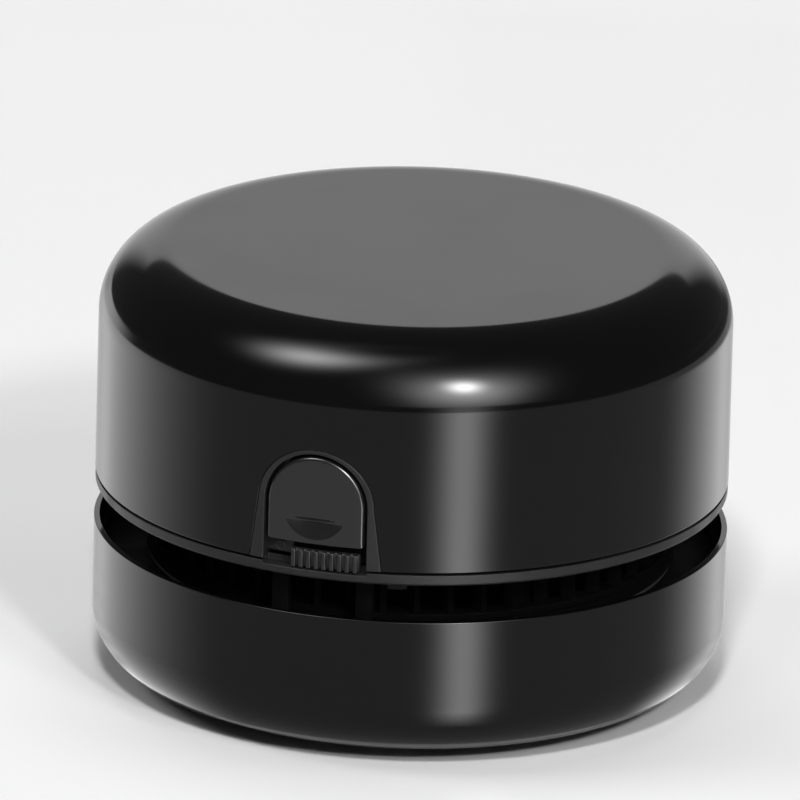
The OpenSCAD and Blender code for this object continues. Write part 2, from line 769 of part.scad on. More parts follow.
// ----------------------------------------------------------- moving pieces

// Gloss cover with the arched notch that drops over the latch station.
module top_cover() color([0.07, 0.07, 0.075])
    difference() {
        rotate_extrude() difference() {
            dome_section(body_r, deck_z, total_h, top_fillet);
            dome_section(inner_r, deck_z - 1, total_h - wall, top_fillet - wall);
        }
        stand(-body_r - 1, -30)
            flared_outline(bezel_out + notch_play, deck_z - 0.1, leg_flare);
    }

// Arched push button: rounded edge, half-moon finger scoop, flange behind.
module release_button() color([0.12, 0.12, 0.125])
    difference() {
        union() {
            intersection() {
                hull() {
                    stand(-body_r, -body_r + 0.1) arch_outline(button_r - button_edge, button_z + button_edge);
                    stand(-body_r + 1.1, -body_r + 1.2) arch_outline(button_r, button_z);
                }
                cylinder(r = button_face_r, h = 60);
            }
            stand(-body_r + 1.1, flange_y + flange_t) arch_outline(button_r, button_z);
            stand(flange_y, flange_y + flange_t) arch_outline(flange_w / 2, button_z + 0.5);
        }
        intersection() {
            translate([0, -body_r - scoop_out, scoop_z]) sphere(r = scoop_r);
            translate([-8, -body_r - 8, scoop_z - 8]) cube([16, 12, 8]);
        }
        translate([0, flange_y + flange_t + eps, spring_z]) rotate([90, 0, 0])
            cylinder(r = spring_r + 0.5, h = spring_pocket + eps);
    }

// Latch hook: a yoke on the back of the button's flange and two legs whose noses
// reach under the cup ring.
module latch_hook() color([0.09, 0.09, 0.09]) {
    yoke_y = flange_y + flange_t;
    translate([-leg_in - leg_w, yoke_y, yoke_z])
        cube([2 * (leg_in + leg_w), yoke_t, yoke_h]);
    for (side = [-1, 1])
        translate([side * (leg_in + leg_w / 2) - leg_w / 2, 0, 0]) {
            translate([0, leg_y, nose_z]) cube([leg_w, leg_t, button_z - nose_z]);
            translate([0, leg_y, button_z - shelf_h])
                cube([leg_w, yoke_y + yoke_t - leg_y, shelf_h]);
            translate([0, yoke_y, button_z - shelf_h])
                cube([leg_w, yoke_t, yoke_z + shelf_h + eps - button_z]);
            translate([0, leg_y - nose_out, nose_z]) rotate([90, 0, 90])
                linear_extrude(height = leg_w)
                    polygon([[0, nose_h * 0.6], [0, nose_h], [nose_out + eps, nose_h], [nose_out + eps, 0]]);
        }
}

// Ribbed thumb slide with the fork that takes the switch's nub along.
module thumb_slide() color([0.16, 0.16, 0.165])
    difference() {
        union() {
            intersection() {
                translate([slide_x - slide_w / 2, -body_r, slide_low])
                    cube([slide_w, 6, slide_high - slide_low]);
                rotate_extrude()
                    ring_section(slide_back_r, slide_face_r, slide_low, slide_high);
            }
            translate([slide_x - stem_w / 2, -slide_back_r - 0.2, stem_z])
                cube([stem_w, slide_back_r + 0.2 + switch_y - 0.3, stem_h]);
        }
        for (i = [1 : grooves])
            translate([slide_x - slide_w / 2 + i * slide_w / (grooves + 1) - groove_w / 2,
                       -body_r - 1, slide_low - 1])
                cube([groove_w, 1 + groove_d + 0.1, slide_high - slide_low + 2]);
        translate([slide_x - nub_w / 2 - 0.05, switch_y - 2.3, stem_z - 1])
            cube([nub_w + 0.1, 4, stem_h + 2]);
    }

// Nub of the electrical switch, held in the fork.
module switch_nub() color([0.90, 0.90, 0.88])
    translate([slide_x - nub_w / 2, switch_y - 2.2, stem_z + 0.1])
        cube([nub_w, 3.2, stem_h - 0.2]);

// One backward-curved blade, drawn flat: half of an arc band between hub and rim.
module blade_outline() intersection() {
    difference() {
        translate([blade_arc_off, 0]) circle(r = blade_arc_r + blade_t / 2);
        translate([blade_arc_off, 0]) circle(r = blade_arc_r - blade_t / 2);
    }
    difference() { circle(r = impeller_r - 0.4); circle(r = hub_r - 0.4); }
    translate([0, 0]) square([impeller_r + 1, impeller_r + 1]);
}

// Centrifugal impeller: hub, back disc under the deck, curved blades below it.
module impeller() color([0.85, 0.85, 0.83])
    difference() {
        union() {
            translate([0, 0, impeller_z]) linear_extrude(height = impeller_h - 0.5)
                for (i = [0 : blades - 1]) rotate(i * 360 / blades) blade_outline();
            rotate_extrude() {
                ring_section(0, impeller_r, impeller_z + impeller_h - 0.8, impeller_z + impeller_h);
                ring_section(0, hub_r, impeller_z, impeller_z + impeller_h);
                translate([0, impeller_z]) difference() {
                    circle(r = hub_r - 0.6);
                    translate([-10, -10]) square([10, 20]);
                }
            }
        }
        translate([0, 0, impeller_z - 5]) cylinder(r = shaft_r, h = 20);
    }

// Shaft from the motor down through the hub.
module motor_shaft() color([0.70, 0.70, 0.72])
    translate([0, 0, impeller_z - 3]) cylinder(r = shaft_r, h = ring_z + 5.5 - impeller_z + 3);

dust_cup();
cup_ring();
base_plate();
inlet_throat();
brush_strips();
glide_pads();
base_screws();
chassis();
exhaust_grille();
fan_plate();
fan_plate_screws();
seal_ring();
filter_frame();
filter_cloth();
motor_can();
motor_endbell();
motor_screws();
cell_cradles();
cell_left();
cell_right();
cell_contacts();
lead_red();
leads_black();
latch_bezel();
latch_bracket();
bracket_screws();
button_spring();
slide_switch();
switch_board();
top_cover();
release_button();
latch_hook();
thumb_slide();
switch_nub();
impeller();
motor_shaft();
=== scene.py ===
"""Desktop mini vacuum cleaner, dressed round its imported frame.

Sizes are in millimetres until a mesh is made. Azimuth 0 is the front, where the
latch station is, and angles grow to the right as seen from the front.
"""

import json
import logging
import math
from collections.abc import Sequence
from dataclasses import dataclass, field
from enum import Enum

import bmesh
import bpy
from bpy.types import ID, Material, Mesh, Node, NodeSocket, Object
from mathutils import Matrix, Vector

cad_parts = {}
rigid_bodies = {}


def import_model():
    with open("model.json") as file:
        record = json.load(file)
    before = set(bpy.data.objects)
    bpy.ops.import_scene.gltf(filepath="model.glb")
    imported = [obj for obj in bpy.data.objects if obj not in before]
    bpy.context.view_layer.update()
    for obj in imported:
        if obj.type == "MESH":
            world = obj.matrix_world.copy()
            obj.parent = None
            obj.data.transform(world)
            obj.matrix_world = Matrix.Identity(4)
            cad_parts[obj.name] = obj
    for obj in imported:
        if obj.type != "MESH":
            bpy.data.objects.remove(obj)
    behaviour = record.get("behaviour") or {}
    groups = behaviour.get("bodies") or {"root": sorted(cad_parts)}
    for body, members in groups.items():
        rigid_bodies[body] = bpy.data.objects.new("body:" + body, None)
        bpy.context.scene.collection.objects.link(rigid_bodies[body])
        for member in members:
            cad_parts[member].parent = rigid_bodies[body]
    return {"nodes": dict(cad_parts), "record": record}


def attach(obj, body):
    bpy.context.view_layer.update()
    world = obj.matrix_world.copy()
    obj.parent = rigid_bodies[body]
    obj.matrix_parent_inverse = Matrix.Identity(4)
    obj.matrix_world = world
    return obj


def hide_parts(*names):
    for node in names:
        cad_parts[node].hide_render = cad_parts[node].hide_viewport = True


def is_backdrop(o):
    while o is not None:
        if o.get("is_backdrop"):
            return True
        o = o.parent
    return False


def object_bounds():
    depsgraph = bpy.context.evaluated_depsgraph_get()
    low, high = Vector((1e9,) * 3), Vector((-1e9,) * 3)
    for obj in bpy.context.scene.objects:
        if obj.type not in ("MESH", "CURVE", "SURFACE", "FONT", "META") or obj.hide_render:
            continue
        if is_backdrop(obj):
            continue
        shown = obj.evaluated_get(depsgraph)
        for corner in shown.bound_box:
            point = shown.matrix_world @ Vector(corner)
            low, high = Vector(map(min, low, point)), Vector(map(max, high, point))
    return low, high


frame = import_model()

MM = 0.001
log = logging.getLogger("mini_vacuum")

Flat = tuple[float, float]                   # two coordinates of a point
Point = tuple[float, float, float]
Corner = tuple[float, float, float]          # radius, height and rounding of a profile's corner
Place = tuple[Point, Point]                  # place in millimetres and turn in degrees
Layer = tuple[NodeSocket, float]             # grey height and its depth in millimetres

FLAT_TO = 0.5                                # faces that meet at less, in degrees, are joined
MIDDLE = (0.3, 0.7)                          # the part of a noise's range that is used


# ------------------------------------------------------------------ mesh helpers

def new_object(name: str, data: ID) -> Object:
    """Links a mesh or a curve to the scene as an object at the origin."""
    piece = bpy.data.objects.new(name, data)
    bpy.context.scene.collection.objects.link(piece)
    return piece


def discard(piece: Object) -> None:
    """Removes an object and its data."""
    bpy.data.batch_remove([piece, piece.data])


@dataclass
class Shape:
    """Collects points in millimetres and faces, and makes one mesh of them."""

    points: list[Point] = field(default_factory=list)
    faces: list[tuple[int, ...]] = field(default_factory=list)

    def grid(self, rows: Sequence[Sequence[Point]], wrap_rows: bool = False,
             wrap_columns: bool = False) -> None:
        """Adds a skin of four-sided faces over rows of points.

        Args:
            rows: rows of points, all of one length.
            wrap_rows: whether the last row joins the first.
            wrap_columns: whether each row's last point joins its first.
        """
        base, width, height = len(self.points), len(rows[0]), len(rows)
        for row in rows:
            self.points.extend(row)
        for i in range(height if wrap_rows else height - 1):
            for j in range(width if wrap_columns else width - 1):
                below, right = (i + 1) % height, (j + 1) % width
                self.faces.append((base + i * width + j, base + i * width + right,
                                   base + below * width + right, base + below * width + j))

    def cap(self, ring: Sequence[Point]) -> None:
        """Adds one face over a ring of points."""
        base = len(self.points)
        self.points.extend(ring)
        self.faces.append(tuple(range(base, base + len(ring))))

    def prism(self, rings: Sequence[Sequence[Point]]) -> None:
        """Adds a body over closed rings and caps both of its ends."""
        self.grid(rings, wrap_columns=True)
        self.cap(rings[0])
        self.cap(rings[-1])

    def beam(self, rows: Sequence[Sequence[Point]]) -> None:
        """Adds a body whose rows run along it and caps both of its ends."""
        self.grid(rows, wrap_rows=True)
        for end in (0, -1):
            self.cap([row[end] for row in rows])

    def box(self, low: Point, high: Point) -> None:
        """Adds a plain block between two corners, for parts out of sight."""
        x0, y0, z0 = low
        x1, y1, z1 = high
        self.prism([[(x0, y0, z), (x1, y0, z), (x1, y1, z), (x0, y1, z)] for z in (z0, z1)])

    def mesh(self, name: str) -> Mesh:
        """Makes a mesh of the points and faces as they are."""
        mesh = bpy.data.meshes.new(name)
        mesh.from_pydata([[c * MM for c in p] for p in self.points], [], self.faces)
        return mesh

    def build(self, name: str, sharp: float = 40.0) -> Object:
        """Makes the object: doubles merged, faces outwards, smooth up to an angle.

        Args:
            name: the object's name.
            sharp: edges at a larger angle than this stay sharp, in degrees.

        Returns:
            The new object.
        """
        mesh = self.mesh(name)
        work = bmesh.new()
        work.from_mesh(mesh)
        bmesh.ops.remove_doubles(work, verts=work.verts, dist=1e-7)
        bmesh.ops.dissolve_degenerate(work, edges=work.edges, dist=1e-8)
        bmesh.ops.recalc_face_normals(work, faces=work.faces)
        work.to_mesh(mesh)
        work.free()
        smooth(mesh, sharp)
        return new_object(name, mesh)


def smooth(mesh: Mesh, sharp: float) -> None:
    """Shades a mesh smooth, with edges past the angle kept sharp."""
    mesh.polygons.foreach_set("use_smooth", [True] * len(mesh.polygons))
    mesh.set_sharp_from_angle(angle=math.radians(sharp))


def step(value: float, start: float, end: float) -> float:
    """Smooth rise from 0 at the start to 1 at the end."""
    t = min(max((value - start) / (end - start), 0.0), 1.0)
    return t * t * (3 - 2 * t)


def full_turn(steps: int) -> list[float]:
    """Angles round a circle, in radians."""
    return [2 * math.pi * k / steps for k in range(steps)]


def quarter(steps: int) -> list[float]:
    """Angles over a quarter turn, in radians."""
    return [math.pi / 2 * k / steps for k in range(steps + 1)]


def round_over(radius: float, steps: int) -> list[Flat]:
    """Rounds an edge from its side to its face.

    Args:
        radius: radius of the rounding.
        steps: steps over it.

    Returns:
        Pairs of distances: drawn in from the side, and set back from the face.
    """
    return [(radius * (1 - math.cos(a)), radius * (1 - math.sin(a))) for a in quarter(steps)]


def on_circle(radius: float, angle: float, z: float) -> Point:
    """Point at an angle from the front, in radians, to the right as seen from there."""
    return radius * math.sin(angle), -radius * math.cos(angle), z


def rounded(corners: Sequence[Corner], steps: int = 6, hold: float = 0.03) -> list[Flat]:
    """Rounds the corners of a closed profile.

    Args:
        corners: radius, height and rounding of each corner.
        steps: points over each rounding.
        hold: distance to the extra points beside a rounding, which keep the long
            faces' shading level.

    Returns:
        The profile's points as radius and height.
    """
    outline: list[Flat] = []
    count = len(corners)
    for i, (r, z, rounding) in enumerate(corners):
        here = Vector((r, z))
        if rounding <= 0:
            outline.append((r, z))
            continue
        before = (Vector(corners[i - 1][:2]) - here).normalized()
        after = (Vector(corners[(i + 1) % count][:2]) - here).normalized()
        half = before.angle(after) / 2
        reach = rounding / math.tan(half)
        centre = here + (before + after).normalized() * (rounding / math.sin(half))
        first, last = here + before * reach, here + after * reach
        outline.append(tuple(first + before * hold))
        start, end = first - centre, last - centre
        sweep = start.angle_signed(end)
        for k in range(steps + 1):
            turned_by = Matrix.Rotation(-sweep * k / steps, 2) @ start
            outline.append(tuple(centre + turned_by))
        outline.append(tuple(last + after * hold))
    return outline


def turned(name: str, profile: Sequence[Flat], segments: int = 256, sharp: float = 40.0) -> Object:
    """Turns a closed profile round the Z axis.

    Args:
        name: the object's name.
        profile: points as radius and height.
        segments: steps round the circle.
        sharp: edges past this angle stay sharp, in degrees.

    Returns:
        The new object.
    """
    shape = Shape()
    rows = [[on_circle(max(r, 0.0), a, z) for a in full_turn(segments)] for r, z in profile]
    shape.grid(rows, wrap_rows=True, wrap_columns=True)
    return shape.build(name, sharp)


def refined(node: str, edge: float = 0.0, sharp: float = 32.0) -> Object:
    """Copies a CAD node with its loose triangles merged, flat faces joined and edges eased.

    Args:
        node: the CAD node.
        edge: width of the bevel on its edges, or 0 for none.
        sharp: edges past this angle stay sharp, in degrees.

    Returns:
        The new object, which stands for the node.
    """
    mesh = frame["nodes"][node].data.copy()
    mesh.materials.clear()
    work = bmesh.new()
    work.from_mesh(mesh)
    bmesh.ops.remove_doubles(work, verts=work.verts, dist=2e-6)
    bmesh.ops.dissolve_limit(work, angle_limit=math.radians(FLAT_TO), verts=work.verts,
                             edges=work.edges)
    work.to_mesh(mesh)
    work.free()
    mesh.name = node + "_skin"
    smooth(mesh, sharp)
    piece = new_object(node + "_skin", mesh)
    return eased(piece, edge) if edge > 0 else piece


def eased(piece: Object, edge: float, limit: float = 50.0) -> Object:
    """Bevels an object's edges.

    Args:
        piece: the object.
        edge: width of the bevel.
        limit: edges past this angle are bevelled, in degrees.

    Returns:
        The bevelled object.
    """
    bevel = piece.modifiers.new("eased_edges", "BEVEL")
    bevel.width = edge * MM
    bevel.segments = 2
    bevel.limit_method = "ANGLE"
    bevel.angle_limit = math.radians(limit)
    bevel.harden_normals = True
    return baked(piece)


def widen(piece: Object, beyond: float, below: float, by: float) -> None:
    """Moves the points of a round rim outwards.

    Args:
        piece: the object.
        beyond: radius that a point must be past.
        below: height that it must be under.
        by: distance to move it.
    """
    for vertex in piece.data.vertices:
        radius = vertex.co.xy.length
        if radius > beyond * MM and vertex.co.z < below * MM:
            vertex.co.xy *= (radius + by * MM) / radius


def baked(piece: Object) -> Object:
    """Turns an object with modifiers into a plain mesh object of the same name."""
    bpy.context.view_layer.update()
    evaluated = piece.evaluated_get(bpy.context.evaluated_depsgraph_get())
    mesh = bpy.data.meshes.new_from_object(evaluated)
    name = piece.name
    discard(piece)
    mesh.name = name
    return new_object(name, mesh)


def combined(name: str, first: Object, second: Object, operation: str = "DIFFERENCE",
             sharp: float = 40.0) -> Object:
    """Cuts the second object from the first, or joins it to the first."""
    boolean = first.modifiers.new("cut", "BOOLEAN")
    boolean.operation = operation
    boolean.solver = "EXACT"
    boolean.object = second
    first.name = name
    made = baked(first)
    discard(second)
    smooth(made.data, sharp)
    return made


def joined(name: str, parts: Sequence[Object]) -> Object:
    """Joins several mesh objects, all at the origin, into one."""
    work = bmesh.new()
    for part in parts:
        work.from_mesh(part.data)
    mesh = bpy.data.meshes.new(name)
    work.to_mesh(mesh)
    work.free()
    for material in parts[0].data.materials:
        mesh.materials.append(material)
    for part in parts:
        discard(part)
    return new_object(name, mesh)


# --------------------------------------------------------------------- finishes

@dataclass
class Sheet:
    """A material's node tree, with short calls to fill it."""

    material: Material

    @classmethod
    def named(cls, name: str) -> "Sheet":
        """Makes an empty material."""
        material = bpy.data.materials.new(name)
        material.use_nodes = True
        material.node_tree.nodes.clear()
        return cls(material)

    def node(self, kind: str, **settings: object) -> Node:
        """Adds a node.

        Args:
            kind: the node's type name.
            settings: attributes of the node; a name in capitals is an input's value.

        Returns:
            The new node.
        """
        made = self.material.node_tree.nodes.new(kind)
        for key, value in settings.items():
            if key[0].isupper():
                made.inputs[key.replace("_", " ")].default_value = value
            else:
                setattr(made, key, value)
        return made

    def link(self, output: NodeSocket, target: NodeSocket) -> None:
        """Joins an output to an input."""
        self.material.node_tree.links.new(output, target)

    def noise(self, scale: float, detail: float = 3.0,
              stretch: Point = (1.0, 1.0, 1.0)) -> NodeSocket:
        """Adds noise on Object coordinates.

        Args:
            scale: waves in a metre.
            detail: octaves.
            stretch: factors along X, Y and Z.

        Returns:
            The noise's grey output.
        """
        place = self.node("ShaderNodeTexCoord")
        mapping = self.node("ShaderNodeMapping", Scale=stretch)
        texture = self.node("ShaderNodeTexNoise", Scale=scale, Detail=detail)
        self.link(place.outputs["Object"], mapping.inputs["Vector"])
        self.link(mapping.outputs["Vector"], texture.inputs["Vector"])
        return texture.outputs["Fac"]

    def between(self, fac: NodeSocket, low: float, high: float) -> NodeSocket:
        """Maps the middle of a noise to a range."""
        ranged = self.node("ShaderNodeMapRange", From_Min=MIDDLE[0], From_Max=MIDDLE[1],
                           To_Min=low, To_Max=high)
        self.link(fac, ranged.inputs["Value"])
        return ranged.outputs["Result"]

    def tint(self, fac: NodeSocket, low: Point, high: Point) -> NodeSocket:
        """Blends two colours by a grey value."""
        ramp = self.node("ShaderNodeValToRGB")
        for stop, place, colour in zip(ramp.color_ramp.elements, MIDDLE, (low, high)):
            stop.position = place
            stop.color = (*colour, 1.0)
        self.link(fac, ramp.inputs["Fac"])
        return ramp.outputs["Color"]

    def relief(self, layers: Sequence[Layer]) -> NodeSocket:
        """Chains bump nodes.

        Args:
            layers: each a grey height and its depth in millimetres.

        Returns:
            The normal that the shader takes.
        """
        normal = None
        for height, depth in layers:
            bump = self.node("ShaderNodeBump", Strength=1.0, Distance=depth * MM)
            self.link(height, bump.inputs["Height"])
            if normal is not None:
                self.link(normal, bump.inputs["Normal"])
            normal = bump.outputs["Normal"]
        return normal

    def surface(self, colour: NodeSocket, layers: Sequence[Layer],
                rough: NodeSocket | None = None, **values: float) -> Material:
        """Ends the tree with one surface.

        Args:
            colour: its colour.
            layers: its relief.
            rough: its roughness, where it isn't even.
            values: even values of the shader, by the names of its inputs.

        Returns:
            The finished material.
        """
        principled = self.node("ShaderNodeBsdfPrincipled", **values)
        end = self.node("ShaderNodeOutputMaterial")
        self.link(principled.outputs["BSDF"], end.inputs["Surface"])
        self.link(colour, principled.inputs["Base Color"])
        self.link(self.relief(layers), principled.inputs["Normal"])
        if rough is not None:
            self.link(rough, principled.inputs["Roughness"])
        return self.material


def shade(colour: Point, factor: float) -> Point:
    """A colour made lighter or darker."""
    return tuple(min(c * factor, 1.0) for c in colour)


@dataclass(frozen=True)
class Gloss:
    """Polished injection moulding: deep colour, slow waves, faint wipe marks."""

    name: str
    colour: Point
    roughness: float = 0.07
    ior: float = 1.42
    wave: float = 0.0006
    haze: float = 0.05

    def material(self) -> Material:
        """Makes the material."""
        sheet = Sheet.named(self.name)
        wipe = sheet.noise(60.0, 4.0, (1.0, 1.0, 2.5))
        return sheet.surface(
            sheet.tint(sheet.noise(25.0), self.colour, shade(self.colour, 1.25)),
            [(sheet.noise(110.0, 1.0), self.wave * 4), (sheet.noise(900.0, 2.0), self.wave)],
            sheet.between(wipe, self.roughness, self.roughness + self.haze), IOR=self.ior)


@dataclass(frozen=True)
class Moulded:
    """Matt or satin plastic or rubber with a fine spark-eroded grain."""

    name: str
    colour: Point
    roughness: float = 0.5
    grain: float = 0.006
    grain_scale: float = 4200.0
    ior: float = 1.46
    spread: float = 1.25

    def material(self) -> Material:
        """Makes the material."""
        sheet = Sheet.named(self.name)
        rub = sheet.noise(180.0, 5.0)
        fine, coarse = (sheet.noise(self.grain_scale / part, 2.0) for part in (1, 6))
        return sheet.surface(
            sheet.tint(sheet.noise(90.0, 5.0), self.colour, shade(self.colour, self.spread)),
            [(fine, self.grain), (coarse, self.grain)],
            sheet.between(rub, self.roughness - 0.06, self.roughness + 0.08), IOR=self.ior)


class Drawn(Enum):
    """Which way a metal's fine marks run, as stretch factors of its noise."""

    ANY = (1.0, 1.0, 1.0)
    ALONG_Z = (1.0, 1.0, 0.05)


@dataclass(frozen=True)
class Metal:
    """Plated, rolled or drawn metal with fine marks and a little tarnish."""

    name: str
    colour: Point
    roughness: float = 0.28
    marks: Drawn = Drawn.ANY
    depth: float = 0.002

    def material(self) -> Material:
        """Makes the material."""
        sheet = Sheet.named(self.name)
        tarnish = sheet.noise(160.0, 6.0)
        return sheet.surface(
            sheet.tint(tarnish, shade(self.colour, 0.82), self.colour),
            [(sheet.noise(3000.0, 3.0, self.marks.value), self.depth)],
            sheet.between(tarnish, self.roughness - 0.05, self.roughness + 0.12), Metallic=1.0)


@dataclass(frozen=True)
class Felt:
    """Non-woven cloth: crossing fibres, a soft sheen and grey dust in its low places."""

    name: str
    colour: Point
    soiled: Point
    fibre: float = 0.05
    sheen: float = 0.3
    lie: float = 0.12

    def material(self) -> Material:
        """Makes the material."""
        sheet = Sheet.named(self.name)
        across, along = (sheet.noise(1500.0, 4.0, stretch)
                         for stretch in ((1.0, 1.0, self.lie), (self.lie, self.lie, 1.0)))
        return sheet.surface(
            sheet.tint(sheet.noise(240.0, 6.0), self.soiled, self.colour),
            [(across, self.fibre), (along, self.fibre)], Roughness=0.9, Sheen_Weight=self.sheen)


@dataclass(frozen=True)
class Sleeve:
    """Printed shrink sleeve of a cell: one colour with a plain band at one end."""

    name: str
    colour: Point
    band: Point
    band_from: float
    towards: float

    def material(self) -> Material:
        """Makes the material."""
        sheet = Sheet.named(self.name)
        place = sheet.node("ShaderNodeTexCoord")
        split = sheet.node("ShaderNodeSeparateXYZ")
        along = sheet.node("ShaderNodeMath", operation="MULTIPLY")
        edge = sheet.node("ShaderNodeMath", operation="GREATER_THAN")
        mixed = sheet.node("ShaderNodeMix", data_type="RGBA")
        along.inputs[1].default_value = self.towards / MM
        edge.inputs[1].default_value = self.band_from
        mixed.inputs[6].default_value = (*self.colour, 1.0)
        mixed.inputs[7].default_value = (*self.band, 1.0)
        sheet.link(place.outputs["Object"], split.inputs["Vector"])
        sheet.link(split.outputs["Y"], along.inputs[0])
        sheet.link(along.outputs["Value"], edge.inputs[0])
        sheet.link(edge.outputs["Value"], mixed.inputs["Factor"])
        dents = sheet.noise(260.0, 3.0, (1.0, 0.25, 1.0))
        return sheet.surface(mixed.outputs[2], [(dents, 0.03)],
                             sheet.between(sheet.noise(300.0, 4.0), 0.18, 0.34), IOR=1.5)


CELL_BLUE, CELL_GOLD, BAND_FROM = (0.012, 0.075, 0.130), (0.55, 0.38, 0.13), 9.0

FINISHES = {finish.name: finish for finish in (
    Gloss("gloss_black", (0.0020, 0.0020, 0.0022)),
    Gloss("button_black", (0.0075, 0.0075, 0.0078), roughness=0.13, ior=1.68, wave=0.0012),
    Moulded("ring_grey", (0.0135, 0.0135, 0.014), 0.42, 0.004, ior=1.34),
    Moulded("slide_grey", (0.011, 0.011, 0.0115), 0.38, 0.004),
    # Dark matt black of the grille; also put on the plate behind the slide and on the ring inside
    # the rim as painted shade.
    Moulded("inner_black", (0.0022, 0.0022, 0.0022), 0.7, ior=1.12),
    Moulded("pad_felt", (0.030, 0.030, 0.030), 0.85, 0.02, grain_scale=2600.0),
    Moulded("brush_nylon", (0.020, 0.020, 0.021), 0.40, 0.002),
    Moulded("seal_rubber", (0.030, 0.030, 0.031), 0.75, 0.01, grain_scale=2400.0),
    Moulded("filter_plastic", (0.075, 0.075, 0.080), 0.45),
    Felt("filter_cloth", (0.80, 0.80, 0.77), (0.52, 0.51, 0.48)),
    Metal("screw_steel", (0.52, 0.52, 0.53), 0.30),
    Metal("motor_steel", (0.66, 0.66, 0.67), 0.26, Drawn.ALONG_Z),
    Moulded("endbell_white", (0.74, 0.74, 0.70), 0.42, 0.003, spread=1.06),
    Sleeve("cell_jacket", CELL_BLUE, CELL_GOLD, BAND_FROM, 1.0),
    Sleeve("cell_jacket_turned", CELL_BLUE, CELL_GOLD, BAND_FROM, -1.0),
    Metal("contact_nickel", (0.74, 0.73, 0.69), 0.24),
    Metal("spring_steel", (0.66, 0.66, 0.67), 0.22),
    Metal("switch_metal", (0.62, 0.62, 0.62), 0.33),
    Moulded("board_green", (0.010, 0.075, 0.035), 0.35, 0.004, grain_scale=2200.0),
    Moulded("nub_white", (0.72, 0.72, 0.70), 0.40, 0.002, spread=1.05),
    Moulded("impeller_white", (0.62, 0.62, 0.58), 0.40, 0.004, spread=1.08),
    Moulded("lead_red", (0.38, 0.012, 0.010), 0.42, 0.003, spread=1.15),
    Moulded("lead_black", (0.012, 0.012, 0.012), 0.42, 0.003),
)}


@dataclass
class Workshop:
    """Makes each finish once and hands finished pieces to the frame."""

    made: dict[str, Material] = field(default_factory=dict)
    pieces: int = 0

    def material(self, finish: str) -> Material:
        """The material of a finish, made when first asked for."""
        if finish not in self.made:
            self.made[finish] = FINISHES[finish].material()
        return self.made[finish]

    def dress(self, piece: Object, body: str, slot: str, *nodes: str, finish: str = "") -> None:
        """Gives a piece its finish and its body, and hides the CAD nodes that it stands for.

        Args:
            piece: the object.
            body: the CAD body that it rides on.
            slot: the record's material slot.
            nodes: the CAD nodes that it stands for.
            finish: the finish, if it isn't the slot's own.
        """
        piece.data.materials.clear()
        piece.data.materials.append(self.material(finish or slot))
        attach(piece, body)
        if nodes:
            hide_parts(*nodes)
        self.pieces += 1
        log.info("%s: %d faces on %s, %s", piece.name, len(piece.data.polygons), body, slot)

    def refine(self, node: str, edge: float = 0.0, sharp: float = 32.0) -> None:
        """Dresses a merged copy of a CAD node in the finish of the node's own slot."""
        record = frame["record"]
        slot = next(s["material_slot"] for s in record["subparts"] if s["node"] == node)
        body = next(b for b, nodes in record["behaviour"]["bodies"].items() if node in nodes)
        self.dress(refined(node, edge, sharp), body, slot, node)

    def repeat(self, name: str, source: Object, places: Sequence[Place], body: str, slot: str,
               node: str) -> None:
        """Dresses copies of one object, set on their places, as one piece."""
        self.dress(copies(name, source, places, self.material(slot)), body, slot, node)


# ----------------------------------------------------------------- node patterns

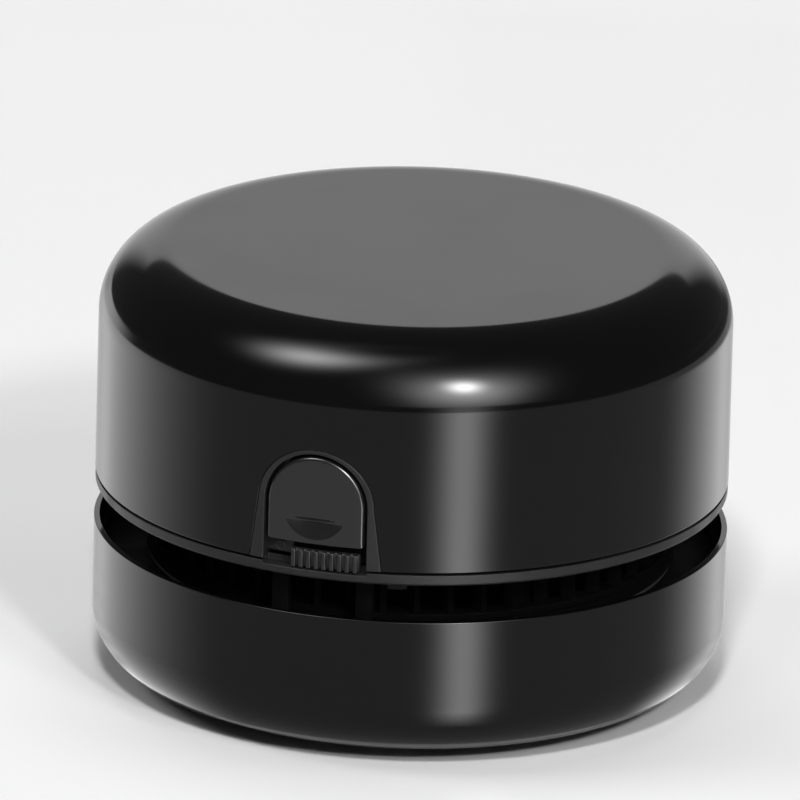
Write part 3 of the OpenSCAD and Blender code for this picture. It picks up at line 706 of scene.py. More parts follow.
class Pattern:
    """A Geometry Nodes tree with named inputs, run once on an empty mesh."""

    def __init__(self, name: str) -> None:
        """Starts an empty tree.

        Args:
            name: the tree's name.
        """
        self.tree = bpy.data.node_groups.new(name, "GeometryNodeTree")
        for way in ("INPUT", "OUTPUT"):
            self.tree.interface.new_socket("Geometry", in_out=way,
                                           socket_type="NodeSocketGeometry")
        self.start = self.tree.nodes.new("NodeGroupInput")
        self.end = self.tree.nodes.new("NodeGroupOutput")
        self.values: dict[str, object] = {}

    def size(self, name: str, value: object, kind: str = "NodeSocketFloat") -> NodeSocket:
        """Adds a named input with its value.

        Args:
            name: the input's name.
            value: the value that it is set to.
            kind: the socket's type.

        Returns:
            The socket inside the tree.
        """
        socket = self.tree.interface.new_socket(name, in_out="INPUT", socket_type=kind)
        self.values[socket.identifier] = value
        return self.start.outputs[name]

    def feed(self, target: NodeSocket, value: object) -> None:
        """Joins a socket to an input, or sets the input's value."""
        if isinstance(value, NodeSocket):
            self.tree.links.new(value, target)
        else:
            target.default_value = value

    def node(self, kind: str, **settings: object) -> Node:
        """Adds a node.

        Args:
            kind: the node's type name.
            settings: attributes of the node; a name in capitals is an input, which takes
                a value or a socket.

        Returns:
            The new node.
        """
        made = self.tree.nodes.new(kind)
        for key, value in settings.items():
            if key[0].isupper():
                self.feed(made.inputs[key.replace("_", " ")], value)
            else:
                setattr(made, key, value)
        return made

    def item(self, source: Object) -> NodeSocket:
        """The geometry of an object that the tree copies."""
        chosen = self.size("Item", source, "NodeSocketObject")
        return self.node("GeometryNodeObjectInfo", Object=chosen).outputs["Geometry"]

    def points(self, count: object) -> NodeSocket:
        """A number of points, all at the origin."""
        return self.node("GeometryNodeMeshLine", Count=count, Offset=(0.0, 0.0, 0.0)).outputs[0]

    def index(self) -> NodeSocket:
        """The number of each element."""
        return self.node("GeometryNodeInputIndex").outputs[0]

    def stood(self, points: NodeSocket, item: NodeSocket, turn: NodeSocket) -> NodeSocket:
        """Copies of a geometry on points, each turned."""
        return self.node("GeometryNodeInstanceOnPoints", Points=points, Instance=item,
                         Rotation=turn).outputs[0]

    def maths(self, operation: str, first: object, second: object = 0.0) -> NodeSocket:
        """Adds one sum on two numbers or sockets."""
        node = self.node("ShaderNodeMath", operation=operation)
        for socket, value in zip(node.inputs, (first, second)):
            self.feed(socket, value)
        return node.outputs["Value"]

    def vector(self, x: object = 0.0, y: object = 0.0, z: object = 0.0) -> NodeSocket:
        """Puts three numbers together."""
        return self.node("ShaderNodeCombineXYZ", X=x, Y=y, Z=z).outputs["Vector"]

    def chance(self, low: float, high: float, seed: int) -> NodeSocket:
        """A number of each element's own, from a fixed seed."""
        node = self.node("FunctionNodeRandomValue", data_type="FLOAT", Seed=seed)
        node.inputs[2].default_value = low
        node.inputs[3].default_value = high
        return node.outputs[1]

    def run(self, name: str, geometry: NodeSocket, material: Material) -> Object:
        """Ends the tree, evaluates it and returns a plain mesh.

        Args:
            name: the new object's name.
            geometry: what the tree has made.
            material: the finish that it sets.

        Returns:
            The object, with no modifier on it.
        """
        finish = self.size("Finish", material, "NodeSocketMaterial")
        real = self.node("GeometryNodeRealizeInstances", Geometry=geometry)
        dressed = self.node("GeometryNodeSetMaterial", Geometry=real.outputs[0], Material=finish)
        self.feed(self.end.inputs[0], dressed.outputs[0])
        host = new_object(name, bpy.data.meshes.new(name))
        modifier = host.modifiers.new("pattern", "NODES")
        modifier.node_group = self.tree
        for identifier, value in self.values.items():
            modifier[identifier] = value
        return baked(host)


def copies(name: str, source: Object, places: Sequence[Place], material: Material) -> Object:
    """Sets copies of one object on a short list of places, with Geometry Nodes.

    Args:
        name: the new object's name.
        source: the object to copy, which is removed afterwards.
        places: for each copy, its place in millimetres and its turn in degrees.
        material: its finish.

    Returns:
        One plain mesh with all the copies.
    """
    pattern = Pattern(name)
    item = pattern.item(source)
    gather = pattern.node("GeometryNodeJoinGeometry")
    for i, (place, turn) in enumerate(places):
        at = pattern.size(f"Place {i}", tuple(c * MM for c in place), "NodeSocketVector")
        by = pattern.size(f"Turn {i}", tuple(math.radians(a) for a in turn), "NodeSocketVector")
        copy = pattern.node("GeometryNodeTransform", Geometry=item, Translation=at, Rotation=by)
        pattern.feed(gather.inputs["Geometry"], copy.outputs["Geometry"])
    made = pattern.run(name, gather.outputs["Geometry"], material)
    discard(source)
    return made


def row_of_copies(name: str, source: Object, count: int, first: float, pitch: float,
                  material: Material) -> Object:
    """Repeats an object round the Z axis at even angles, with Geometry Nodes.

    Args:
        name: the new object's name.
        source: the object as it stands at angle 0, which is removed afterwards.
        count: how many copies.
        first: angle of the first copy, in degrees.
        pitch: angle from one copy to the next, in degrees.
        material: its finish.

    Returns:
        One plain mesh with all the copies.
    """
    pattern = Pattern(name)
    item = pattern.item(source)
    number = pattern.size("Count", count, "NodeSocketInt")
    start = pattern.size("First angle", math.radians(first))
    each = pattern.size("Pitch angle", math.radians(pitch))
    angle = pattern.maths("ADD", pattern.maths("MULTIPLY", pattern.index(), each), start)
    stood = pattern.stood(pattern.points(number), item, pattern.vector(z=angle))
    made = pattern.run(name, stood, material)
    discard(source)
    return made


def round_places(radius: float, z: float, first: int, twist: float = 0.0) -> list[Place]:
    """Four places round the Z axis.

    Args:
        radius: their distance from the axis.
        z: their height.
        first: angle of the first, from the X axis, in degrees.
        twist: each copy's own turn, added to its angle, or 0 for no turn at all.

    Returns:
        Each copy's place and turn.
    """
    angles = [first + 90 * k for k in range(4)]
    return [((radius * math.cos(math.radians(a)), radius * math.sin(math.radians(a)), z),
             (0.0, 0.0, a + twist if twist else 0.0)) for a in angles]


# ------------------------------------------------------------- casing, in general

@dataclass(frozen=True)
class Casing:
    """Sizes that the shells and the latch station share, in millimetres."""

    radius: float = 45.0
    top: float = 63.5
    deck: float = 30.3
    notch_play: float = 0.06
    arch_z: float = 39.15
    flare: float = 1.2
    squash: float = 0.35
    bezel_in: float = 7.6
    bezel_out: float = 8.55

    def front(self, x: float, inset: float) -> float:
        """Y of the casing's round wall at x, set in by a depth."""
        return -math.sqrt(max((self.radius - inset) ** 2 - x * x, 0.0))

    def on_wall(self, outline: Sequence[Flat], inset: float) -> list[Point]:
        """Lays an outline, given as x and z, on the round wall, set in by a depth."""
        return [(x, self.front(x, inset), z) for x, z in outline]


def arch(half: float, foot: float, centre: float, flare: float = 0.0, squash: float = 0.0,
         leg_steps: int = 12, arc_steps: int = 64) -> list[Flat]:
    """Outline of an arch from its right foot over the top to its left foot.

    Args:
        half: half its width.
        foot: height of its feet.
        centre: height of the centre of its round top.
        flare: how far each foot stands out.
        squash: how much lower the top is than a full half circle.
        leg_steps: steps on each leg.
        arc_steps: steps over the round top.

    Returns:
        Points as x and z.
    """
    leg = [(half + flare * (1 - k / leg_steps), foot + (centre - foot) * k / leg_steps)
           for k in range(leg_steps)]
    turn = [math.pi * k / arc_steps for k in range(arc_steps + 1)]
    arc = [(half * math.cos(a), centre + (half - squash) * math.sin(a)) for a in turn]
    return leg + arc + [(-x, z) for x, z in reversed(leg)]


# -------------------------------------------------------------------- top cover

@dataclass
class TopCover:
    """Gloss cover: one moulding with a big round edge and the notch in front."""

    casing: Casing
    wall: float = 1.8
    fillet: float = 10.0
    lip: float = 0.15
    foot_growth: float = 0.84        # how far the foot's corner moves for each step into the wall
    inner_margin: float = 0.1
    outer_margin: float = 0.04
    around: int = 384
    fillet_steps: int = 28
    leg_steps: int = 10
    arc_steps: int = 72

    def edge(self, grown: float, inset: float) -> list[Flat]:
        """The shell's open edge as angle and height.

        Args:
            grown: distance from the edge into the wall, along the wall.
            inset: depth below the outer face.

        Returns:
            One angle and height for each column of the shell.
        """
        casing = self.casing
        half = casing.bezel_out + casing.notch_play
        low = casing.deck + grown
        foot = half + casing.flare + self.foot_growth * grown
        notch = arch(half + grown, low, casing.arch_z, foot - (half + grown), casing.squash,
                     self.leg_steps, self.arc_steps)
        front = [(math.asin(x / (casing.radius - inset)), z) for x, z in notch]
        first = front[0][0]
        span = 2 * math.pi - 2 * first
        back = [(first + span * k / self.around, low) for k in range(self.around, 0, -1)][1:]
        return front + [(a - 2 * math.pi if a > math.pi else a, z) for a, z in back]

    def wall_row(self, grown: float, inset: float) -> list[Point]:
        """A row of points along the open edge."""
        radius = self.casing.radius - inset
        return [on_circle(radius, a, z) for a, z in self.edge(grown, inset)]

    def build(self) -> Object:
        """Makes the shell, from the inside of its top round the edge to the outside."""
        casing, wall, fillet = self.casing, self.wall, self.fillet
        knee, flat_r = casing.top - fillet, casing.radius - fillet
        rows: list[list[Point]] = []

        def level(edge: Sequence[Flat], rings: Sequence[Flat]) -> None:
            """Adds level rings, given as radius and height, at the angles of an edge."""
            rows.extend([on_circle(radius, a, z) for a, _ in edge] for radius, z in rings)

        def bend(radius: float, angles: Sequence[float]) -> list[Flat]:
            """The round edge between wall and top as radius and height."""
            return [(flat_r + radius * math.cos(a), knee + radius * math.sin(a)) for a in angles]

        inside = self.edge(self.lip, wall)
        level(inside, [(flat_r * share, casing.top - wall) for share in (0.0, 0.4, 0.8, 0.98)])
        level(inside, bend(fillet - wall, quarter(self.fillet_steps // 2)[::-1]))
        rows.append(self.wall_row(self.lip + self.inner_margin, wall))
        lip = round_over(self.lip, 4)
        rows.extend(self.wall_row(ahead, wall - away) for away, ahead in lip)
        rows.extend(self.wall_row(ahead, away) for away, ahead in reversed(lip))
        rows.append(self.wall_row(self.lip + self.outer_margin, 0.0))
        outside = self.edge(self.lip + self.outer_margin, 0.0)
        for share in (0.3, 0.6, 0.85, 0.97):
            rows.append([on_circle(casing.radius, a, z + (knee - z) * share) for a, z in outside])
        level(outside, bend(fillet, quarter(self.fillet_steps)))
        level(outside, [(flat_r * share, casing.top) for share in (0.985, 0.8, 0.5, 0.2, 0.0)])
        shape = Shape()
        shape.grid(rows, wrap_columns=True)
        return shape.build("top_cover_shell", 50.0)


# --------------------------------------------------------------------- dust cup

@dataclass
class DustCup:
    """Gloss cup with its thin stepped rim, and what is screwed and pressed into it."""

    casing: Casing
    floor_z: float = 1.5
    rim_z: float = 22.9
    fillet: float = 8.8
    inner_fillet: float = 6.5
    seat_z: float = 17.0
    low_wall: float = 2.6
    high_wall: float = 1.7
    rim_wall: float = 0.8
    rim_deep: float = 2.6
    floor_t: float = 1.8
    boss_r: float = 34.5
    boss_t: float = 2.9
    mouth_r: float = 26.0
    plate_r: float = 33.0
    plate_play: float = 0.3
    plate_deep: float = 1.5
    slot_length: float = 38.0
    strip_y: float = 6.1
    pad_r: float = 2.95
    pad_h: float = 2.0
    pad_ring: float = 27.0
    screw_ring: float = 29.5
    screw_seat: float = 2.4

    def cup(self) -> Object:
        """Turns the cup from its profile."""
        outer, base = self.casing.radius, self.floor_z
        low_r, rim_r = outer - self.low_wall, outer - self.rim_wall
        well_r = self.plate_r + self.plate_play
        profile: list[Corner] = [
            (outer, base, self.fillet),
            (outer, self.rim_z, 0.13), (rim_r, self.rim_z, 0.06),
            (rim_r, self.seat_z, 0.05), (low_r, self.seat_z, 0.2),
            (low_r, base + self.floor_t, self.inner_fillet),
            (self.boss_r, base + self.floor_t, 0.1), (self.boss_r, base + self.boss_t, 0.2),
            (self.mouth_r, base + self.boss_t, 0.2), (self.mouth_r, base + self.plate_deep, 0.1),
            (well_r, base + self.plate_deep, 0.05), (well_r, base, 0.15),
        ]
        return turned("dust_cup_shell", rounded(profile, 14), 384, 60.0)

    def liner(self) -> Object:
        """Ring inside the rim, which the motor unit's seal faces; its dark matt finish is painted
        shade inside the rim.
        """
        play = 0.02
        outer = self.casing.radius - self.rim_wall - play
        inner = self.casing.radius - self.high_wall
        low, top = self.seat_z + play, self.rim_z - self.rim_deep
        profile: list[Corner] = [
            (outer, low, 0.0), (outer, top, 0.1), (inner, top - 0.9, 0.2), (inner, low, 0.0),
        ]
        return turned("rim_liner", rounded(profile, 4), 256, 60.0)

    def pad(self) -> Object:
        """One felt pad, with a round edge at its foot."""
        profile: list[Corner] = [
            (0.0, 0.0, 0.0), (self.pad_r, 0.0, 0.55), (self.pad_r, self.pad_h, 0.1),
            (0.0, self.pad_h, 0.0),
        ]
        return turned("pad_source", rounded(profile, 5), 48)

    def build(self, workshop: Workshop) -> None:
        """Builds and dresses the lower half."""
        workshop.dress(self.cup(), "dust_base", "gloss_black", "dust_cup")
        # The ring inside the rim has the dark matt inner finish as painted shade.
        workshop.dress(self.liner(), "dust_base", "inner_black")
        for node, edge in (("cup_ring", 0.12), ("base_plate", 0.1), ("inlet_throat", 0.15)):
            workshop.refine(node, edge)
        workshop.repeat("glide_pad_set", self.pad(), round_places(self.pad_ring, 0.0, 45),
                        "dust_base", "pad_felt", "glide_pads")
        BrushStrips(self).build(workshop)
        workshop.repeat("base_screw_set", Screw(1.8, 0.8, 0.8, 1.8).build(),
                        round_places(self.screw_ring, self.screw_seat, 0, 20.0),
                        "dust_base", "screw_steel", "base_screws")


@dataclass
class BrushStrips:
    """Two rows of nylon tufts beside the suction slot, each tuft of many bristles."""

    cup: DustCup
    tufts: int = 24
    bristles: int = 18
    tuft_r: float = 0.62
    bristle_r: float = 0.06
    tip_z: float = 0.12
    root_z: float = 1.7
    row_over: float = 4.0            # how much longer a row's backing is than the slot
    lean: float = 0.10
    backing_half: float = 0.9
    backing_z: Flat = (1.5, 2.5)

    def bristle_rows(self, workshop: Workshop) -> Object:
        """Both rows of bristles, placed by one tree."""
        length = self.cup.slot_length + self.row_over - 2
        pattern = Pattern("bristle_rows")
        maths, chance = pattern.maths, pattern.chance
        per_tuft = pattern.size("Bristles in a tuft", self.bristles, "NodeSocketInt")
        tufts = pattern.size("Tufts in a row", self.tufts, "NodeSocketInt")
        pitch = pattern.size("Pitch", length / self.tufts * MM)
        offset = pattern.size("Row offset", self.cup.strip_y * MM)
        spread = pattern.size("Tuft radius", self.tuft_r * MM)
        thick = pattern.size("Bristle radius", self.bristle_r * MM)
        tall = pattern.size("Bristle length", (self.root_z - self.tip_z) * MM)
        middle = pattern.size("Middle height", (self.root_z + self.tip_z) / 2 * MM)
        in_row = maths("MULTIPLY", per_tuft, tufts)
        line = pattern.points(maths("MULTIPLY", in_row, 2.0))
        index = pattern.index()
        row = maths("FLOOR", maths("DIVIDE", index, in_row))
        within = maths("SUBTRACT", index, maths("MULTIPLY", row, in_row))
        tuft = maths("FLOOR", maths("DIVIDE", within, per_tuft))
        last_half = maths("DIVIDE", maths("SUBTRACT", tufts, 1.0), 2.0)
        along = maths("MULTIPLY", maths("SUBTRACT", tuft, last_half), pitch)
        side = maths("MULTIPLY", maths("SUBTRACT", maths("MULTIPLY", row, 2.0), 1.0), offset)
        angle = chance(0.0, 2 * math.pi, 7)
        reach = maths("MULTIPLY", maths("SQRT", chance(0.0, 1.0, 8)), spread)
        x = maths("ADD", along, maths("MULTIPLY", maths("COSINE", angle), reach))
        y = maths("ADD", side, maths("MULTIPLY", maths("SINE", angle), reach))
        placed = pattern.node("GeometryNodeSetPosition", Geometry=line,
                              Position=pattern.vector(x, y, middle))
        strand = pattern.node("GeometryNodeMeshCylinder", Vertices=4, Radius=thick, Depth=tall)
        tilt = pattern.vector(chance(-self.lean, self.lean, 9), chance(-self.lean, self.lean, 10),
                              chance(0.0, 1.5, 11))
        grown = pattern.stood(placed.outputs[0], strand.outputs[0], tilt)
        return pattern.run("brush_bristles", grown, workshop.material("brush_nylon"))

    def build(self, workshop: Workshop) -> None:
        """Builds the bristles and their two backings."""
        backing = Shape()
        half = (self.cup.slot_length + self.row_over - 0.2) / 2
        low, high = self.backing_z
        for middle in (-self.cup.strip_y, self.cup.strip_y):
            backing.box((-half, middle - self.backing_half, low),
                        (half, middle + self.backing_half, high))
        bars = backing.build("brush_backings")
        strips = joined("brush_strip_set", [self.bristle_rows(workshop), bars])
        workshop.dress(strips, "dust_base", "brush_nylon", "brush_strips")


@dataclass
class Screw:
    """Pan head screw with a cross recess, head downwards, seated at z = 0."""

    head_r: float
    head_h: float
    shank_r: float
    shank_l: float
    thread_pitch: float = 0.5
    segments: int = 40

    def build(self) -> Object:
        """Makes the screw with its threaded shank."""
        dome = [(self.head_r * math.sin(a), -self.head_h * (0.35 + 0.65 * math.cos(a)))
                for a in quarter(8)]
        profile = [*dome, (self.head_r, 0.0), (self.shank_r, 0.0)]
        turns = max(int(self.shank_l / self.thread_pitch), 1)
        pitch = self.shank_l / turns
        for k in range(turns):
            profile += [(self.shank_r, pitch * k + 0.02), (self.shank_r * 0.8, pitch * (k + 0.5))]
        profile += [(self.shank_r * 0.7, self.shank_l), (0.0, self.shank_l)]
        body = turned("screw_source", profile, self.segments, 35.0)
        arm, wide = self.head_r * 0.58, self.head_r * 0.13
        for long, narrow in ((arm, wide), (wide, arm)):
            cross = Shape()
            cross.prism([[(sx * long * s, sy * narrow * s, z)
                          for sx, sy in ((-1, -1), (1, -1), (1, 1), (-1, 1))]
                         for s, z in ((1.0, -self.head_h - 0.2), (0.75, -self.head_h * 0.35))])
            body = combined("screw_source", body, cross.build("screw_recess"), sharp=35.0)
        return body


# ----------------------------------------------------------------- latch station

@dataclass
class LatchStation:
    """Bezel, button, ribbed slide, hook, spring and electrical switch."""

    casing: Casing
    bezel_back: float = 40.2
    bezel_face: float = 0.03
    button_half: float = 7.15
    button_z: float = 33.3
    button_inset: float = 0.1
    button_edge: float = 0.5
    flange_y: float = -40.15
    flange_t: float = 1.0
    flange_half: float = 8.3
    scoop_slope: float = 0.34
    scoop_roll: float = 0.9
    scoop_rim: float = 4.86
    scoop_z: float = 39.0
    scoop_top: float = 37.45
    spring_r: float = 2.3
    spring_wire: float = 0.28
    spring_turns: int = 5
    spring_z: float = 39.75
    button_travel: float = 1.4
    pocket: float = 2.2
    panel_low: float = 30.95
    panel_high: float = 33.0
    panel_end: float = -3.5
    panel_inset: float = 1.75
    mark_at: Flat = (-5.4, 32.05)
    mark_r: Flat = (0.5, 0.78)
    mark_deep: float = 0.42
    mark_sunk: float = 0.17
    channel_inset: float = 2.1
    bracket_y: float = -33.6
    screw_at: Point = (6.4, -30.2, 31.5)
    slide_x: float = 1.5
    stem_x: float = 1.8
    stem_half: float = 1.6
    fork_half: float = 0.8
    slide_w: float = 10.2
    slide_low: float = 29.75
    slide_high: float = 32.35
    slide_face: float = 0.05
    slide_back: float = 1.3
    ribs: int = 9
    rib_gap: float = 0.50
    rib_deep: float = 0.55

    def bezel_band(self) -> Object:
        """The flared band and its guide tube, swept along the arch."""
        c = self.casing
        ease, hold, face = 0.16, 0.03, self.bezel_face

        def path(grown: float, flared: bool, half: float) -> list[Flat]:
            """Arch outline at a half width, grown outwards."""
            squash = c.squash if half == c.bezel_out else 0.0
            return arch(half + grown, c.deck, c.arch_z, c.flare if flared else 0.0, squash,
                        leg_steps=16, arc_steps=72)

        def outside(grown: float, inset: float, flared: bool = True) -> list[Point]:
            """Row round the band's outer side, on the round wall."""
            return c.on_wall(path(grown, flared, c.bezel_out), inset)

        def inside(grown: float, inset: float) -> list[Point]:
            """Row round the band's inner side, on the round wall."""
            return c.on_wall(path(grown, False, c.bezel_in), inset)

        def tube_end(half: float) -> list[Point]:
            """Row round the flat end of the guide tube."""
            return [(x, -self.bezel_back, z) for x, z in path(0.0, False, half)]

        over = round_over(ease, 4)
        rows = [tube_end(c.bezel_out), outside(0.0, 1.7, False), outside(0.0, 1.7),
                outside(0.0, face + ease + 0.05)]
        rows += [outside(-away, face + ahead) for away, ahead in over]
        rows += [outside(-ease - hold, face), inside(ease + hold, face)]
        rows += [inside(away, face + ahead) for away, ahead in reversed(over)]
        rows += [inside(0.0, face + ease + 0.05), tube_end(c.bezel_in)]
        shape = Shape()
        shape.beam(rows)
        return shape.build("bezel_band", 50.0)

    def plate(self, name: str, left: float, right: float, inset: float, low: float) -> Object:
        """Curved plate under the button with round front edges.

        Args:
            name: its name.
            left: its left end.
            right: its right end.
            inset: depth of its face below the casing.
            low: its lower edge.

        Returns:
            The plate.
        """
        back, high = 3.0, self.panel_high
        xs = [left + (right - left) * k / 40 for k in range(41)]
        lower = [(inset + ahead, low + away) for away, ahead in round_over(0.5, 6)]
        upper = [(inset + away, high - ahead) for away, ahead in round_over(0.15, 6)]
        shape = Shape()
        shape.beam([self.casing.on_wall([(x, z) for x in xs], deep)
                    for deep, z in [(back, low), *lower, *upper, (back, high)]])
        return shape.build(name, 50.0)

    def panel(self) -> Object:
        """Small panel at the slide's left, with a raised ring mark."""
        pad = self.plate("latch_panel", -self.casing.bezel_in, self.panel_end, self.panel_inset,
                         self.panel_low)
        (inner, outer), deep = self.mark_r, self.mark_deep
        profile = [(inner, 0.0, 0.0), (inner, deep, 0.08), (outer, deep, 0.08), (outer, 0.0, 0.0)]
        mark = turned("panel_mark", rounded(profile, 3), 40)
        x, z = self.mark_at
        place = Vector((x, self.casing.front(x, self.panel_inset) + self.mark_sunk, z)) * MM
        around = math.asin(x / (self.casing.radius - self.panel_inset))
        spin = Matrix.Rotation(around, 4, "Z") @ Matrix.Rotation(math.pi / 2, 4, "X")
        mark.data.transform(Matrix.Translation(place) @ spin)
        return joined("latch_panel", [pad, mark])

    def channel(self) -> Object:
        """Plate behind the slide, with the slot for its stem; its dark finish is painted shade
        between the button and the slide.
        """
        deck, play = self.casing.deck, 0.15
        plate = self.plate("slide_channel", self.panel_end, self.casing.bezel_in,
                           self.channel_inset, deck + 0.02)
        slot = Shape()
        slot.box((self.panel_end - 1.0, -46.0, deck + 0.2),
                 (self.stem_x + self.stem_half + play, -38.0, deck + 1.7))
        return combined("slide_channel", plate, slot.build("channel_slot"), sharp=50.0)

    def button_outline(self, half: float, foot: float, corner: float = 0.5) -> list[Flat]:
        """Closed arch outline with small round lower corners."""
        upper = arch(half, foot + corner, self.casing.arch_z, leg_steps=24, arc_steps=96)
        left = [(-half + away, foot + ahead) for away, ahead in round_over(corner, 6)[1:]]
        across = [(-half + corner + 2 * (half - corner) * k / 48, foot) for k in range(1, 48)]
        return upper + left + across + [(-x, z) for x, z in reversed(left)]

    def scoop_depth(self, x: float, z: float) -> float:
        """How deep the finger scoop is at a point of the button's face."""
        inside = self.scoop_rim - math.hypot(x, self.scoop_z - z)
        if inside <= 0 or z >= self.scoop_top:
            return 0.0
        return self.scoop_slope * inside * step(self.scoop_top - z, 0.0, self.scoop_roll)

    def button(self) -> Object:
        """Push button with round edge, half-moon scoop, flange and spring pocket."""
        c = self.casing
        edge, hold, rings = self.button_edge, 0.02, 72
        flange_back = self.flange_y + self.flange_t

        def row(grown: float, inset: float) -> list[Point]:
            """Outline drawn in by a margin, on the round face set in by a depth."""
            outline = self.button_outline(self.button_half - grown, self.button_z + grown)
            return c.on_wall(outline, self.button_inset + inset)

        full = self.button_outline(self.button_half, self.button_z)
        rows = [[(x, self.flange_y + hold, z) for x, z in full], row(0.0, edge + 0.05)]
        rows += [row(away, ahead) for away, ahead in round_over(edge, 7)]
        rim = self.button_outline(self.button_half - edge - hold, self.button_z + edge + hold)
        middle = (self.button_z + c.arch_z + self.button_half) / 2
        for k in range(rings + 1):
            share = 1 - k / rings
            points = [(x * share, middle + (z - middle) * share) for x, z in rim]
            rows.append([(x, c.front(x, self.button_inset) + self.scoop_depth(x, z), z)
                         for x, z in points])
        face = Shape()
        face.grid(rows, wrap_columns=True)
        face.cap(rows[0])
        flange = Shape()
        outline = self.button_outline(self.flange_half, self.button_z + 0.5, 0.4)
        flange.prism([[(x, y, z) for x, z in outline] for y in (self.flange_y, flange_back)])
        body = combined("button_body", face.build("button_plug", 45.0),
                        flange.build("button_flange"), "UNION", 45.0)
        bore, bore_r = Shape(), self.spring_r + 0.5
        bore.prism([[(bore_r * math.cos(a), y, self.spring_z + bore_r * math.sin(a))
                     for a in full_turn(48)]
                    for y in (flange_back - self.pocket, flange_back + 1.0)])
        return combined("release_button_body", body, bore.build("button_bore"), sharp=45.0)

    def spring(self, workshop: Workshop) -> Object:
        """Coil between the button and the bracket, from a spiral swept with round wire."""
        gap = self.spring_wire + 0.02
        first = self.flange_y + self.flange_t - self.pocket + self.button_travel + gap
        last = self.bracket_y - gap
        pattern = Pattern("button_spring_coil")
        turns = pattern.size("Turns", float(self.spring_turns))
        radius = pattern.size("Coil radius", self.spring_r * MM)
        height = pattern.size("Coil length", (last - first) * MM)
        wire = pattern.size("Wire radius", self.spring_wire * MM)
        place = pattern.size("Place", (0.0, first * MM, self.spring_z * MM), "NodeSocketVector")
        spiral = pattern.node("GeometryNodeCurveSpiral", Resolution=40, Rotations=turns,
                              Start_Radius=radius, End_Radius=radius, Height=height)
        section = pattern.node("GeometryNodeCurvePrimitiveCircle", Resolution=10, Radius=wire)
        swept = pattern.node("GeometryNodeCurveToMesh", Curve=spiral.outputs[0],
                             Profile_Curve=section.outputs[0], Fill_Caps=True)
        laid = pattern.node("GeometryNodeTransform", Geometry=swept.outputs[0], Translation=place,
                            Rotation=(-math.pi / 2, 0.0, 0.0))
        shaded = pattern.node("GeometryNodeSetShadeSmooth", Geometry=laid.outputs[0])
        return pattern.run("button_spring_coil", shaded.outputs[0],
                           workshop.material("spring_steel"))

    def rib(self) -> Object:
        """One upright rib with round edges, at the front of the casing."""
        ease, tip = 0.16, 0.05
        half_w = (self.slide_w / self.ribs - self.rib_gap) / 2
        front = self.casing.radius - self.slide_face
        back = front - self.rib_deep - 0.15
        low, high = self.slide_low, self.slide_high
        rows = []
        for z, pulled in ((low, ease), (low + tip, tip), (low + ease, 0.0),
                          (high - ease, 0.0), (high - tip, tip), (high, ease)):
            half, top = half_w - pulled * 0.5, front - pulled
            side = [(half, -back), (half, -top + ease)]
            side += [(half - away, -top + ahead) for away, ahead in round_over(ease, 4)[1:]]
            rows.append([(x, y, z) for x, y in side + [(-x, y) for x, y in reversed(side)]])
        shape = Shape()
        shape.prism(rows)
        return shape.build("rib_source", 50.0)

    def slide_block(self) -> Object:
        """Curved block that carries the ribs."""
        ease, side, low, high = 0.15, 0.1, self.slide_low, self.slide_high
        outer, inner = self.slide_face + self.rib_deep, self.slide_back
        start, length = self.slide_x - self.slide_w / 2 + side, self.slide_w - 2 * side
        xs = [start + length * k / 24 for k in range(25)]
        block = Shape()
        block.beam([self.casing.on_wall([(x, z) for x in xs], inset) for inset, z in (
            (inner, low), (outer + ease, low), (outer, low + ease), (outer, high - ease),
            (outer + ease, high), (inner, high))])
        return block.build("slide_block", 50.0)

    def slide_stem(self) -> Object:
        """Stem behind the slide, with the fork that takes the switch's nub along."""
        left, right = self.stem_x - self.stem_half, self.stem_x + self.stem_half
        low, high = self.casing.deck + 0.35, self.casing.deck + 1.55
        stem = Shape()
        stem.box((left, -43.9, low), (right, -40.72, high))
        for x0, x1 in ((left, self.stem_x - self.fork_half), (self.stem_x + self.fork_half, right)):
            stem.box((x0, -40.74, low), (x1, -38.7, high))
        return stem.build("slide_stem")

    def ribbed_slide(self, workshop: Workshop) -> Object:
        """Thumb slide: a curved block, its ribs by one tree, its stem and fork."""
        face = self.casing.radius - self.slide_face
        pitch = math.degrees(self.slide_w / self.ribs / face)
        first = math.degrees(self.slide_x / face) - (self.ribs - 1) / 2 * pitch
        ribs = row_of_copies("slide_ribs", self.rib(), self.ribs, first, pitch,
                             workshop.material("slide_grey"))
        return joined("thumb_slide_body", [self.slide_block(), self.slide_stem(), ribs])

    def build(self, workshop: Workshop) -> None:
        """Builds and dresses the whole station."""
        band = joined("latch_bezel_arch", [self.bezel_band(), self.panel()])
        workshop.dress(band, "motor_unit", "ring_grey", "latch_bezel")
        # The plate behind the slide has the dark inner finish as painted shade.
        workshop.dress(self.channel(), "motor_unit", "inner_black")
        workshop.dress(self.button(), "release", "button_black", "release_button")
        workshop.dress(self.spring(workshop), "motor_unit", "spring_steel", "button_spring")
        workshop.dress(self.ribbed_slide(workshop), "power_slide", "slide_grey", "thumb_slide")
        for node, edge in (("latch_hook", 0.12), ("latch_bracket", 0.12), ("slide_switch", 0.08),
                           ("switch_board", 0.04), ("switch_nub", 0.08)):
            workshop.refine(node, edge)
        x, y, z = self.screw_at
        places = [((side * x, y, z), (180.0, 0.0, 30.0 * side)) for side in (-1, 1)]
        workshop.repeat("bracket_screw_set", Screw(1.5, 0.9, 0.8, 2.8).build(), places,
                        "motor_unit", "screw_steel", "bracket_screws")


# ------------------------------------------------------------------- motor unit

